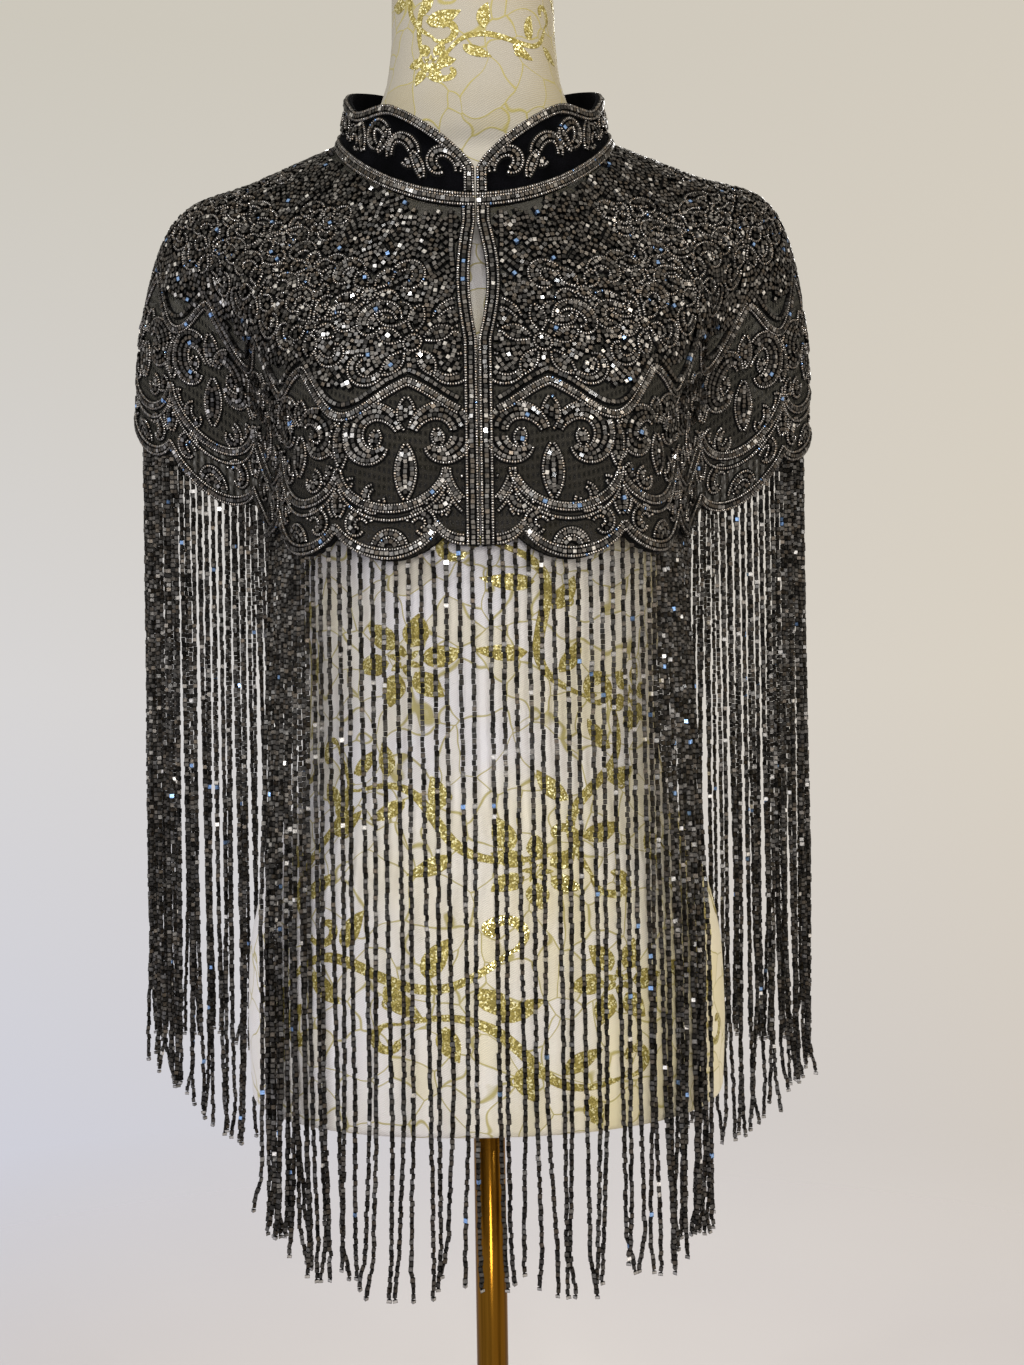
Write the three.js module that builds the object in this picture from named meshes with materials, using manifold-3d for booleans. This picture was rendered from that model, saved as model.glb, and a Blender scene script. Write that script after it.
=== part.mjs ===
// Beaded fringe capelet with a stand collar, worn on a limbless dress form on its own stand.
// Millimetres, +Z up, the front faces -Y, and the origin is under the middle of the stand's base.
// Left and right are as seen from the front: left is -X.

import * as THREE from 'three';
import { mergeVertices } from 'three/addons/utils/BufferGeometryUtils.js';
import Module from 'manifold-3d';

const wasm = await Module();
wasm.setup();

// Cloth
const netWall = 1.6;        // beaded net, as thick as the net and its beads' threads
const velvetWall = 2.0;     // stand collar
const seamGap = 0.3;        // left between pieces that meet
const bandRise = 1.6;       // height of a beaded band over the cloth that it lies on

// Neck seam: a ring round the collar's foot that tilts down to the front
const neckSeam = {
  halfWidth: 94, front: -88, back: 70,
  frontHeight: 1273, sideHeight: 1341, backHeight: 1364,
};

// Lines down the cloth from centre front to centre back, mirrored for the other side, where the
// left arm's hem is hitched up and out, and the right shoulder sits higher.
// neckTurn: degrees round the neck seam. shoulder: where the cloth turns over to hang.
// hem: the foot of the scallops. bow: how far the hanging part swells out, or falls in if negative.
const capeLines = [
  { name: 'centre front', neckTurn: 0, shoulder: [0, -112, 1165], hem: [0, -124, 1046], bow: 2 },
  { name: 'bust', neckTurn: 17, shoulder: [56, -109, 1168], hem: [60, -119, 1046], bow: 2 },
  { name: 'side front', neckTurn: 33, shoulder: [100, -94, 1182], hem: [108, -96, 1050], bow: 1 },
  { name: 'valley', neckTurn: 48, shoulder: [135, -67, 1210], hem: [136, -44, 1064], bow: -2 },
  { name: 'valley back', neckTurn: 62, shoulder: [168, -34, 1250], hem: [162, 10, 1080], bow: -5 },
  { name: 'arm front', neckTurn: 77, shoulder: [199, -4, 1286], hem: [214, 32, 1114], bow: 7 },
  { name: 'arm', neckTurn: 92, shoulder: [213, 22, 1300], hem: [246, 64, 1146], bow: 11 },
  { name: 'arm back', neckTurn: 107, shoulder: [203, 48, 1291], hem: [231, 108, 1146], bow: 9 },
  { name: 'blade', neckTurn: 123, shoulder: [168, 78, 1268], hem: [176, 137, 1128], bow: 4 },
  { name: 'back', neckTurn: 141, shoulder: [116, 100, 1252], hem: [118, 146, 1110], bow: 3 },
  { name: 'back middle', neckTurn: 160, shoulder: [58, 112, 1246], hem: [60, 148, 1098], bow: 2 },
  { name: 'centre back', neckTurn: 180, shoulder: [0, 116, 1245], hem: [0, 147, 1094], bow: 2 },
];

const leftHitch = { out: 7, up: 13 };
const rightShoulderRise = 5;

// Soft folds. hemShare: place on the hem, 0 at centre front, 0.25 near the right arm, 0.5 at centre
// back. depth: how far the fold falls in at the hem. width: share of the hem on each side of it.
const softFolds = [
  { hemShare: 0.172, depth: 6, width: 0.03 },
  { hemShare: 0.232, depth: -4, width: 0.028 },
  { hemShare: 0.352, depth: 7, width: 0.034 },
  { hemShare: 0.43, depth: 6, width: 0.03 },
  { hemShare: 0.50, depth: -4, width: 0.03 },
  { hemShare: 0.575, depth: 7, width: 0.032 },
  { hemShare: 0.655, depth: 6, width: 0.036 },
  { hemShare: 0.77, depth: -5, width: 0.03 },
  { hemShare: 0.835, depth: 7, width: 0.03 },
];
const foldStart = 0.4;      // folds begin this far down the cloth

// Hem and fringe
const scallops = 9;         // whole ones on each side
const scallopDepth = 18;
const frontScallop = { width: 20.5, depth: 10 };   // the part scallop beside the opening
const hemBandWidth = 7.5;
// How far apart the strands are sewn, from centre front (hemShare 0) to centre back, both sides alike
const strandSpacing = [
  { hemShare: 0, spacing: 8 },
  { hemShare: 0.07, spacing: 8 },
  { hemShare: 0.11, spacing: 6.4 },
  { hemShare: 0.15, spacing: 5.5 },
  { hemShare: 0.32, spacing: 5.5 },
  { hemShare: 0.37, spacing: 7.5 },
  { hemShare: 0.5, spacing: 8.5 },
];
const strandSeamClear = 1.5;   // extra room beside a seam
const fringeLength = 457;
const strandRadius = 1.35;
const strandSway = 2.2;     // how far a strand's end wanders
const hipReach = 0.6;       // share of a strand's length where it meets the hips
const hipRow = 2;           // widest row of formSections
const hipClearance = 5;
const stripGap = 0.55;      // behind the cloth
const stripDepth = 3.4;     // the sewn strip behind the hem that holds the strands
const stripHeight = 4;

// Front opening
const frontBandWidth = 9;
const frontMeet = 0.3;      // each edge's distance from the middle where the fronts meet
const keyhole = { top: 0.05, foot: 0.42, left: 4, right: 5.6 };

// Stand collar
const collar = {
  frontHeight: 24, height: 57, backHeight: 37, rounding: 60,
  frontLean: 3, sideLean: 12,     // degrees towards the neck
  rimWidth: 7, footBand: 9,
};

// Shoulder seams, as shares of the hem
const rightSeam = 0.272;
const leftSeam = 0.728;

// Dress form, from the underside up. middle: how far back the section's middle lies. front and back
// are measured from it. full: 2 is an ellipse, more is squarer.
const formSections = [
  { height: 689, halfWidth: 160, front: 115, back: 110, middle: 0, full: 2.2 },
  { height: 694, halfWidth: 163, front: 118, back: 113, middle: 0, full: 2.2 },
  { height: 740, halfWidth: 165, front: 120, back: 117, middle: 0, full: 2.2 },
  { height: 793, halfWidth: 163, front: 119, back: 118, middle: 0, full: 2.2 },
  { height: 834, halfWidth: 154, front: 114, back: 113, middle: 0, full: 2.2 },
  { height: 872, halfWidth: 138, front: 104, back: 101, middle: 0, full: 2.2 },
  { height: 906, halfWidth: 125, front: 96, back: 90, middle: 0, full: 2.2 },
  { height: 940, halfWidth: 120, front: 92, back: 85, middle: 0, full: 2.2 },
  { height: 975, halfWidth: 120, front: 92, back: 85, middle: 0, full: 2.2 },
  { height: 1015, halfWidth: 125, front: 96, back: 88, middle: 0, full: 2.2 },
  { height: 1060, halfWidth: 131, front: 100, back: 92, middle: 0, full: 2.2 },
  { height: 1105, halfWidth: 135, front: 102, back: 96, middle: 0, full: 2.1 },
  { height: 1150, halfWidth: 140, front: 98, back: 100, middle: 1, full: 2.1 },
  { height: 1190, halfWidth: 150, front: 91, back: 100, middle: 3, full: 2.05 },
  { height: 1225, halfWidth: 163, front: 84, back: 96, middle: 6, full: 2.0 },
  { height: 1255, halfWidth: 177, front: 77, back: 88, middle: 10, full: 1.9 },
  { height: 1275, halfWidth: 187, front: 69, back: 76, middle: 13, full: 1.85 },
  { height: 1290, halfWidth: 193, front: 63, back: 65, middle: 16, full: 1.8 },
  { height: 1302, halfWidth: 193, front: 57, back: 55, middle: 17, full: 1.75 },
  { height: 1312, halfWidth: 171, front: 53, back: 49, middle: 14, full: 1.75 },
  { height: 1322, halfWidth: 142, front: 50, back: 47, middle: 9, full: 1.8 },
  { height: 1332, halfWidth: 109, front: 46, back: 48, middle: 4, full: 1.9 },
  { height: 1343, halfWidth: 80, front: 49, back: 52, middle: 1, full: 2.0 },
  { height: 1360, halfWidth: 70, front: 52, back: 55, middle: 0, full: 2.1 },
  { height: 1385, halfWidth: 61, front: 52, back: 54, middle: 0, full: 2.2 },
  { height: 1415, halfWidth: 57, front: 52, back: 54, middle: 0, full: 2.2 },
  { height: 1483, halfWidth: 56, front: 52, back: 54, middle: 0, full: 2.2 },
  { height: 1489, halfWidth: 53, front: 49, back: 51, middle: 0, full: 2.2 },
];
const formSides = 36;

// Stand
const poleRadius = 11;
const poleSides = 24;
const baseRadius = 165;
const baseSides = 40;
const baseProfile = [
  { radius: baseRadius - 2, height: 0 },
  { radius: baseRadius, height: 3 },
  { radius: baseRadius, height: 8 },
  { radius: baseRadius - 4, height: 12 },
  { radius: 40, height: 18 },
  { radius: 24, height: 24 },
  { radius: 20, height: 38 },
];

const up = new THREE.Vector3(0, 0, 1);
const wrap = share => share - Math.floor(share);
const smooth = (value, low, high) => THREE.MathUtils.smoothstep(value, low, high);

// Rings round the body, each a closed smooth curve with the same parameter

function mirroredRing(pointOf) {
  const right = capeLines.map(line => pointOf(line, 1));
  const left = capeLines.slice(1, -1).reverse().map(line => {
    const point = pointOf(line, -1);
    return new THREE.Vector3(-point.x, point.y, point.z);
  });
  const ring = new THREE.CatmullRomCurve3([...right, ...left], true, 'catmullrom', 0.5);
  ring.arcLengthDivisions = 880;
  return ring;
}

// 0 at the middle of the front and back, 1 over the arms
const armShare = line => smooth(Math.sin(THREE.MathUtils.degToRad(line.neckTurn)), 0.6, 1);

function shoulderPoint(line, side) {
  const rise = side > 0 ? rightShoulderRise * armShare(line) : 0;
  return new THREE.Vector3(...line.shoulder).addScaledVector(up, rise);
}

function hemPoint(line, side) {
  const hitch = side < 0 ? armShare(line) : 0;
  const point = new THREE.Vector3(...line.hem);
  return point.add(new THREE.Vector3(leftHitch.out, 0, leftHitch.up).multiplyScalar(hitch));
}

function neckPoint(line) {
  const turn = THREE.MathUtils.degToRad(line.neckTurn);
  const middle = (neckSeam.front + neckSeam.back) / 2;
  const reach = (neckSeam.back - neckSeam.front) / 2;
  const mean = (neckSeam.frontHeight + neckSeam.backHeight) / 2;
  const tilt = (neckSeam.backHeight - neckSeam.frontHeight) / 2;
  const crown = neckSeam.sideHeight - mean;
  return new THREE.Vector3(
    neckSeam.halfWidth * Math.sin(turn),
    middle - reach * Math.cos(turn),
    mean - tilt * Math.cos(turn) + crown * Math.sin(turn) ** 2,
  );
}

function bellyPoint(line, side) {
  const belly = shoulderPoint(line, side).lerp(hemPoint(line, side), 0.5);
  const outward = new THREE.Vector3(belly.x, belly.y, 0).normalize();
  return belly.addScaledVector(outward, line.bow);
}

const neckRing = mirroredRing(neckPoint);
const shoulderRing = mirroredRing(shoulderPoint);
const bellyRing = mirroredRing(bellyPoint);
const hemRing = mirroredRing(hemPoint);

const ringAtHem = share => hemRing.getUtoTmapping(wrap(share));
const ringAtNeck = share => neckRing.getUtoTmapping(wrap(share));
const hemLength = hemRing.getLength();
const neckLength = neckRing.getLength();
const scallopWidth = (hemLength / 2 - frontScallop.width) / scallops;

// The cloth's outer face: ring goes round from centre front, down runs from 0 at the neck to 1
// at the foot of the scallops, and lift is the distance off the face.

function foldDepth(ring, down) {
  const hemShare = hemShareOf(ring);
  const reach = smooth(down, foldStart, 1);
  let depth = 0;
  for (const fold of softFolds) {
    const offset = (hemShare - fold.hemShare) / fold.width;
    depth += fold.depth * reach * Math.exp(-offset * offset);
  }
  return depth;
}

const ringSteps = 880;
const hemShares = hemRing.getLengths(ringSteps).map(length => length / hemLength);

function hemShareOf(ring) {
  const place = wrap(ring) * ringSteps;
  const step = Math.floor(place);
  return THREE.MathUtils.lerp(hemShares[step], hemShares[step + 1] ?? 1, place - step);
}

function clothFace(ring, down) {
  const neck = neckRing.getPoint(wrap(ring));
  const shoulder = shoulderRing.getPoint(wrap(ring));
  const belly = bellyRing.getPoint(wrap(ring));
  const hem = hemRing.getPoint(wrap(ring));
  const yoke = neck.clone().lerp(shoulder, 0.5).addScaledVector(up, 1.5);
  const line = new THREE.CatmullRomCurve3([neck, yoke, shoulder, belly, hem], false, 'catmullrom', 0.5);
  const point = line.getPoint(down);
  const tangent = hemRing.getTangent(wrap(ring));
  const outward = new THREE.Vector3(tangent.y, -tangent.x, 0).normalize();
  return point.addScaledVector(outward, -foldDepth(ring, down));
}

function clothNormal(ring, down) {
  const step = 0.002;
  const low = Math.max(down - step, 0);
  const high = Math.min(down + step, 1);
  const across = clothFace(ring + step, down).sub(clothFace(ring - step, down));
  const along = clothFace(ring, high).sub(clothFace(ring, low));
  return along.cross(across).normalize();
}

function clothPoint(ring, down, lift) {
  return clothFace(ring, down).addScaledVector(clothNormal(ring, down), lift);
}

// How much of the ring or of the way down one millimetre takes at a place

function ringPerMm(ring, down) {
  const step = 0.002;
  return 2 * step / clothFace(ring + step, down).distanceTo(clothFace(ring - step, down));
}

function downPerMm(ring, down) {
  const step = 0.01;
  const low = Math.max(down - step, 0);
  const high = Math.min(down + step, 1);
  return (high - low) / clothFace(ring, high).distanceTo(clothFace(ring, low));
}

// Scalloped edge: a part scallop beside the opening, then whole ones to centre back
function hemEdge(ring) {
  const share = hemShareOf(ring);
  const away = Math.min(share, 1 - share) * hemLength;
  const beyond = away - frontScallop.width;
  const [depth, place] = beyond < 0
    ? [frontScallop.depth, away / frontScallop.width]
    : [scallopDepth, 2 * wrap(beyond / scallopWidth) - 1];
  const drop = depth * (1 - place ** 2) ** 0.75;
  return 1 - (scallopDepth - drop) * downPerMm(ring, 0.95);
}

// Closed solids

function solidGeometry(points, faces) {
  const geometry = new THREE.BufferGeometry();
  geometry.setAttribute('position', new THREE.Float32BufferAttribute(points.flatMap(p => p.toArray()), 3));
  geometry.setIndex(faces.flat());
  let volume = 0;
  for (const [a, b, c] of faces) {
    volume += points[a].dot(points[b].clone().cross(points[c]));
  }
  if (volume < 0) {
    geometry.setIndex(faces.map(([a, b, c]) => [a, c, b]).flat());
  }
  return geometry;
}

// A wall between two grids of points of the same size, closed along its four edges
function wallGeometry(outer, inner) {
  const columns = outer.length;
  const rows = outer[0].length;
  const points = [...outer.flat(), ...inner.flat()];
  const at = (side, column, row) => side * columns * rows + column * rows + row;
  const faces = [];
  const quad = (a, b, c, d) => faces.push([a, b, c], [a, c, d]);
  for (let i = 0; i < columns - 1; i++) {
    for (let j = 0; j < rows - 1; j++) {
      quad(at(0, i, j), at(0, i, j + 1), at(0, i + 1, j + 1), at(0, i + 1, j));
      quad(at(1, i, j), at(1, i + 1, j), at(1, i + 1, j + 1), at(1, i, j + 1));
    }
    quad(at(0, i, 0), at(0, i + 1, 0), at(1, i + 1, 0), at(1, i, 0));
    quad(at(0, i, rows - 1), at(1, i, rows - 1), at(1, i + 1, rows - 1), at(0, i + 1, rows - 1));
  }
  for (let j = 0; j < rows - 1; j++) {
    quad(at(0, 0, j), at(1, 0, j), at(1, 0, j + 1), at(0, 0, j + 1));
    const last = columns - 1;
    quad(at(0, last, j), at(0, last, j + 1), at(1, last, j + 1), at(1, last, j));
  }
  return solidGeometry(points, faces);
}

// A solid through rings of points of the same count, closed at both ends
function loftGeometry(rings) {
  const sides = rings[0].length;
  const points = rings.flat();
  const faces = [];
  for (let i = 0; i < rings.length - 1; i++) {
    for (let k = 0; k < sides; k++) {
      const next = (k + 1) % sides;
      const [a, b] = [i * sides + k, i * sides + next];
      faces.push([a, b, b + sides], [a, b + sides, a + sides]);
    }
  }
  const last = (rings.length - 1) * sides;
  for (let k = 1; k < sides - 1; k++) {
    faces.push([0, k + 1, k], [last, last + k, last + k + 1]);
  }
  return solidGeometry(points, faces);
}

function manifoldOf(geometry) {
  return new wasm.Manifold(new wasm.Mesh({
    numProp: 3,
    vertProperties: new Float32Array(geometry.attributes.position.array),
    triVerts: new Uint32Array(geometry.index.array),
  }));
}

function geometryOf(manifold) {
  const mesh = manifold.getMesh();
  const geometry = new THREE.BufferGeometry();
  geometry.setAttribute('position', new THREE.BufferAttribute(mesh.vertProperties, 3));
  geometry.setIndex(new THREE.BufferAttribute(mesh.triVerts, 1));
  return mergeVertices(geometry, 1e-4);
}

const steps = (low, high, count) => (
  Array.from({ length: count + 1 }, (_, i) => low + (high - low) * i / count)
);

// Net panels

const clothColumns = 124;    // all round the hem
const rowShares = [0, 0.12, 0.26, 0.4, 0.5, 0.62, 0.76, 0.89, 1];
const neckInset = 0.2;      // the panels start this far below the neck seam, and the collar above it

function frontEdge(side, down) {
  const reach = (down - keyhole.top) / (keyhole.foot - keyhole.top);
  const open = reach > 0 && reach < 1 ? Math.sin(Math.PI * reach) : 0;
  return frontMeet + (side > 0 ? keyhole.right : keyhole.left) * open;
}

function panelGeometry(start, end) {
  const columns = Math.round((end - start) * clothColumns);
  const outer = [];
  const inner = [];
  for (const share of steps(start, end, columns)) {
    const ring = share === 1 ? 1 : ringAtHem(share);
    const top = neckInset * downPerMm(ring, 0);
    const foot = hemEdge(ring);
    const places = rowShares.map(row => {
      const down = top + (foot - top) * row;
      return { ring: ring + edgeShift(share, ring, down, start, end), down };
    });
    outer.push(places.map(place => clothPoint(place.ring, place.down, 0)));
    inner.push(places.map(place => clothPoint(place.ring, place.down, -netWall)));
  }
  return wallGeometry(outer, inner);
}

// Moves a panel's outermost columns to its front edge or clear of the shoulder seam
function edgeShift(share, ring, down, start, end) {
  const reach = (share - start) / (end - start);
  const atStart = start === 0 ? frontEdge(1, down) : seamGap / 2;
  const atEnd = end === 1 ? frontEdge(-1, down) : seamGap / 2;
  const fade = 0.25;
  const move = atStart * Math.max(1 - reach / fade, 0) - atEnd * Math.max(1 - (1 - reach) / fade, 0);
  return move * ringPerMm(ring, down);
}

// Beaded bands, made from the cloth's own points and moved out

const bandFoot = 0.4;
const bandTop = bandFoot + bandRise;

function hemBandGeometry(start, end) {
  const columns = Math.round((end - start) * clothColumns);
  const outer = [];
  const inner = [];
  for (const share of steps(start, end, columns)) {
    const ring = share === 1 ? 1 : ringAtHem(share);
    const foot = hemEdge(ring);
    const head = foot - hemBandWidth * downPerMm(ring, 0.95);
    const places = [head, foot].map(down => (
      { ring: ring + bandShift(share, ring, down, start, end), down }
    ));
    outer.push(places.map(place => clothPoint(place.ring, place.down, bandTop)));
    inner.push(places.map(place => clothPoint(place.ring, place.down, bandFoot)));
  }
  return wallGeometry(outer, inner);
}

// As edgeShift, with the front bands left clear
function bandShift(share, ring, down, start, end) {
  const reach = (share - start) / (end - start);
  const clear = frontMeet + frontBandWidth + seamGap;
  const atStart = start === 0 ? clear : seamGap;
  const atEnd = end === 1 ? clear : seamGap;
  const fade = 0.15;
  const move = atStart * Math.max(1 - reach / fade, 0) - atEnd * Math.max(1 - (1 - reach) / fade, 0);
  return move * ringPerMm(ring, down);
}

function frontBandGeometry(side) {
  const outer = [];
  const inner = [];
  const top = 2 * neckInset * downPerMm(0, 0);
  const bottom = hemEdge(0);
  for (const across of [0, frontBandWidth]) {
    const places = steps(top, bottom, 16).map(down => (
      { ring: side * (frontEdge(side, down) + across) * ringPerMm(0, down), down }
    ));
    outer.push(places.map(place => clothPoint(place.ring, place.down, bandTop)));
    inner.push(places.map(place => clothPoint(place.ring, place.down, bandFoot)));
  }
  return wallGeometry(outer, inner);
}

const collarMeet = 0.5;     // the collar's ends stop this far from the middle
const collarSide = 118;     // from centre front to the collar's side, round the seam
const collarColumns = 60;

// Stand collar: share goes round the neck seam from centre front, high is the height over the seam

function collarPoint(share, high, lift) {
  const ring = ringAtNeck(share);
  const foot = neckRing.getPoint(ring);
  const tangent = neckRing.getTangent(ring);
  const outward = new THREE.Vector3(tangent.y, -tangent.x, 0).normalize();
  const away = Math.min(wrap(share), 1 - wrap(share)) * neckLength;
  const turned = smooth(away, 20, collarSide);
  const degrees = THREE.MathUtils.lerp(collar.frontLean, collar.sideLean, turned);
  const lean = THREE.MathUtils.degToRad(degrees);
  const rise = up.clone().multiplyScalar(Math.cos(lean)).addScaledVector(outward, -Math.sin(lean));
  const face = outward.clone().multiplyScalar(Math.cos(lean)).addScaledVector(up, Math.sin(lean));
  return foot.addScaledVector(rise, high).addScaledVector(face, lift);
}

// Height of the collar at a distance round the seam from centre front
function collarEdge(away) {
  const reach = Math.min(away / collar.rounding, 1);
  const round = (1 - (1 - reach) ** 2) ** 0.75;
  const side = smooth(away, collar.rounding, collarSide);
  const height = THREE.MathUtils.lerp(collar.height, collar.backHeight, side);
  return collar.frontHeight + (height - collar.frontHeight) * round;
}

// Distances round the seam from the right end to the left end, closer together at the fronts
function collarStations(start) {
  return steps(-1, 1, collarColumns).map(place => {
    const eased = Math.sign(place) * (1 - (1 - Math.abs(place)) ** 1.4);
    return neckLength / 2 + eased * (neckLength / 2 - start);
  });
}

function collarGeometry() {
  const outer = [];
  const inner = [];
  for (const around of collarStations(collarMeet)) {
    const away = Math.min(around, neckLength - around);
    const heights = steps(neckInset, collarEdge(away), 3);
    outer.push(heights.map(high => collarPoint(around / neckLength, high, 0)));
    inner.push(heights.map(high => collarPoint(around / neckLength, high, -velvetWall)));
  }
  return wallGeometry(outer, inner);
}

function neckBandGeometry() {
  const outer = [];
  const inner = [];
  for (const around of collarStations(collarMeet)) {
    const heights = [neckInset, neckInset + collar.footBand];
    outer.push(heights.map(high => collarPoint(around / neckLength, high, bandTop)));
    inner.push(heights.map(high => collarPoint(around / neckLength, high, bandFoot)));
  }
  return wallGeometry(outer, inner);
}

// The rim follows the collar's front ends and its top edge, rimWidth wide on the flat cloth
function collarRimGeometry() {
  const foot = neckInset + collar.footBand + seamGap;
  const ends = steps(foot, collar.frontHeight, 2).slice(0, -1);
  const edge = [
    ...ends.map(high => new THREE.Vector2(collarMeet, high)),
    ...collarStations(collarMeet).map(around => (
      new THREE.Vector2(around, collarEdge(Math.min(around, neckLength - around)))
    )),
    ...ends.reverse().map(high => new THREE.Vector2(neckLength - collarMeet, high)),
  ];
  const outer = [];
  const inner = [];
  edge.forEach((point, i) => {
    const before = edge[Math.max(i - 1, 0)];
    const after = edge[Math.min(i + 1, edge.length - 1)];
    const run = after.clone().sub(before).normalize();
    const inset = point.clone().add(new THREE.Vector2(run.y, -run.x).multiplyScalar(collar.rimWidth));
    inset.y = Math.max(inset.y, foot);
    const places = [point, inset];
    outer.push(places.map(place => collarPoint(place.x / neckLength, place.y, bandTop)));
    inner.push(places.map(place => collarPoint(place.x / neckLength, place.y, bandFoot)));
  });
  return wallGeometry(outer, inner);
}

// Fringe: three-sided strands that hang from a strip behind the scalloped edge

const stripFace = -netWall - stripGap;
const strandCentre = stripFace - stripDepth + strandRadius;
const rootDepth = 1;      // a strand starts this far up inside the strip

// How far forward or back the hips push a strand from where it is sewn
function hipPush(x, y) {
  const hips = formSections[hipRow];
  const depth = (y < 0 ? hips.front : hips.back) + hipClearance;
  const across = Math.min(Math.abs(x) / (hips.halfWidth + hipClearance), 1);
  const surface = depth * (1 - across ** hips.full) ** (1 / hips.full);
  return Math.sign(y) * Math.max(surface - Math.abs(y), 0);
}

function strandGeometry(share, number) {
  const ring = ringAtHem(share);
  const root = clothPoint(ring, hemEdge(ring) - rootDepth * downPerMm(ring, 0.95), strandCentre);
  const push = hipPush(root.x, root.y);
  const rings = [0, hipReach, 1].map(reach => {
    const swing = strandSway * reach;
    const centre = new THREE.Vector3(
      root.x + swing * Math.sin(number * 2.4 + reach * 3),
      root.y + push * Math.min(reach / hipReach, 1) + swing * Math.cos(number * 1.7 + reach * 3),
      root.z - fringeLength * reach,
    );
    return [0, 1, 2].map(corner => {
      const turn = (corner / 3 + number * 0.13) * 2 * Math.PI;
      const spoke = new THREE.Vector3(Math.cos(turn), Math.sin(turn), 0);
      return centre.clone().addScaledVector(spoke, strandRadius);
    });
  });
  return loftGeometry(rings);
}

function stripGeometry(start, end) {
  const columns = Math.round((end - start) * clothColumns);
  const outer = [];
  const inner = [];
  for (const share of steps(start, end, columns)) {
    const ring = ringAtHem(share);
    const foot = hemEdge(ring);
    const downs = [foot - stripHeight * downPerMm(ring, 0.95), foot];
    outer.push(downs.map(down => clothPoint(ring, down, stripFace)));
    inner.push(downs.map(down => clothPoint(ring, down, stripFace - stripDepth)));
  }
  return wallGeometry(outer, inner);
}

// Strands to each mm of the hem
function strandDensity(share) {
  const away = Math.min(share, 1 - share);
  const next = Math.max(strandSpacing.findIndex(row => row.hemShare >= away), 1);
  const [a, b] = [strandSpacing[next - 1], strandSpacing[next]];
  const reach = (away - a.hemShare) / (b.hemShare - a.hemShare);
  return 1 / THREE.MathUtils.lerp(a.spacing, b.spacing, reach);
}

// Places of the strands as shares of the hem, from one seam to the next
function strandShares(start, end) {
  const clear = strandSeamClear / hemLength;
  const places = steps(start + clear, end - clear, 400);
  const counts = [0];
  places.slice(1).forEach((place, i) => {
    const run = (place - places[i]) * hemLength;
    counts.push(counts[i] + run * strandDensity((place + places[i]) / 2));
  });
  const number = Math.round(counts.at(-1));
  return Array.from({ length: number }, (_, i) => {
    const wanted = (i + 0.5) / number * counts.at(-1);
    const next = counts.findIndex(count => count > wanted);
    const reach = (wanted - counts[next - 1]) / (counts[next] - counts[next - 1]);
    return THREE.MathUtils.lerp(places[next - 1], places[next], reach);
  });
}

function fringeGeometry(start, end) {
  const clear = 1 / hemLength;
  let fringe = manifoldOf(stripGeometry(start + clear, end - clear));
  strandShares(start, end).forEach((share, number) => {
    fringe = fringe.add(manifoldOf(strandGeometry(share, number)));
  });
  return geometryOf(fringe);
}

// Dress form and stand

function formGeometry() {
  const rings = formSections.map(section => steps(0, 1, formSides).slice(0, -1).map(share => {
    const turn = share * 2 * Math.PI;
    const side = Math.cos(turn);
    const face = Math.sin(turn);
    const depth = face < 0 ? section.front : section.back;
    const power = 2 / section.full;
    return new THREE.Vector3(
      section.halfWidth * Math.sign(side) * Math.abs(side) ** power,
      section.middle + depth * Math.sign(face) * Math.abs(face) ** power,
      section.height,
    );
  }));
  return loftGeometry(rings);
}

function poleGeometry() {
  const foot = baseProfile.at(-1).height + seamGap;
  const head = formSections[0].height - seamGap;
  const pole = new THREE.CylinderGeometry(poleRadius, poleRadius, head - foot, poleSides);
  pole.rotateX(Math.PI / 2);
  pole.translate(0, 0, (head + foot) / 2);
  return pole;
}

function baseGeometry() {
  const top = baseProfile.at(-1).height;
  const outline = [
    new THREE.Vector2(0, 0),
    ...baseProfile.map(row => new THREE.Vector2(row.radius, row.height)),
    new THREE.Vector2(0, top),
  ];
  const base = new THREE.LatheGeometry(outline, baseSides);
  base.rotateX(Math.PI / 2);
  return base;
}

const materials = {
  net: { color: 0x3a3836, roughness: 0.75, metalness: 0.1 },
  beads: { color: 0x4b4744, roughness: 0.3, metalness: 0.6 },
  velvet: { color: 0x08080a, roughness: 0.95, metalness: 0 },
  lace: { color: 0xe6e0d0, roughness: 0.7, metalness: 0 },
  brass: { color: 0xb08a45, roughness: 0.3, metalness: 0.9 },
};

const model = new THREE.Group();

function addPiece(name, geometry, finish) {
  const mesh = new THREE.Mesh(geometry, new THREE.MeshStandardMaterial(materials[finish]));
  mesh.name = name;
  model.add(mesh);
}

addPiece('front_panel_right', panelGeometry(0, rightSeam), 'net');
addPiece('back_panel', panelGeometry(rightSeam, leftSeam), 'net');
addPiece('front_panel_left', panelGeometry(leftSeam, 1), 'net');
addPiece('hem_band_right', hemBandGeometry(0, rightSeam), 'beads');
addPiece('hem_band_back', hemBandGeometry(rightSeam, leftSeam), 'beads');
addPiece('hem_band_left', hemBandGeometry(leftSeam, 1), 'beads');
addPiece('front_band_right', frontBandGeometry(1), 'beads');
addPiece('front_band_left', frontBandGeometry(-1), 'beads');
addPiece('stand_collar', collarGeometry(), 'velvet');
addPiece('collar_foot_band', neckBandGeometry(), 'beads');
addPiece('collar_rim', collarRimGeometry(), 'beads');
addPiece('fringe_right', fringeGeometry(0, rightSeam), 'beads');
addPiece('fringe_back', fringeGeometry(rightSeam, leftSeam), 'beads');
addPiece('fringe_left', fringeGeometry(leftSeam, 1), 'beads');
addPiece('form_body', formGeometry(), 'lace');
addPiece('pole', poleGeometry(), 'brass');
addPiece('base', baseGeometry(), 'brass');

export default model;
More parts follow.
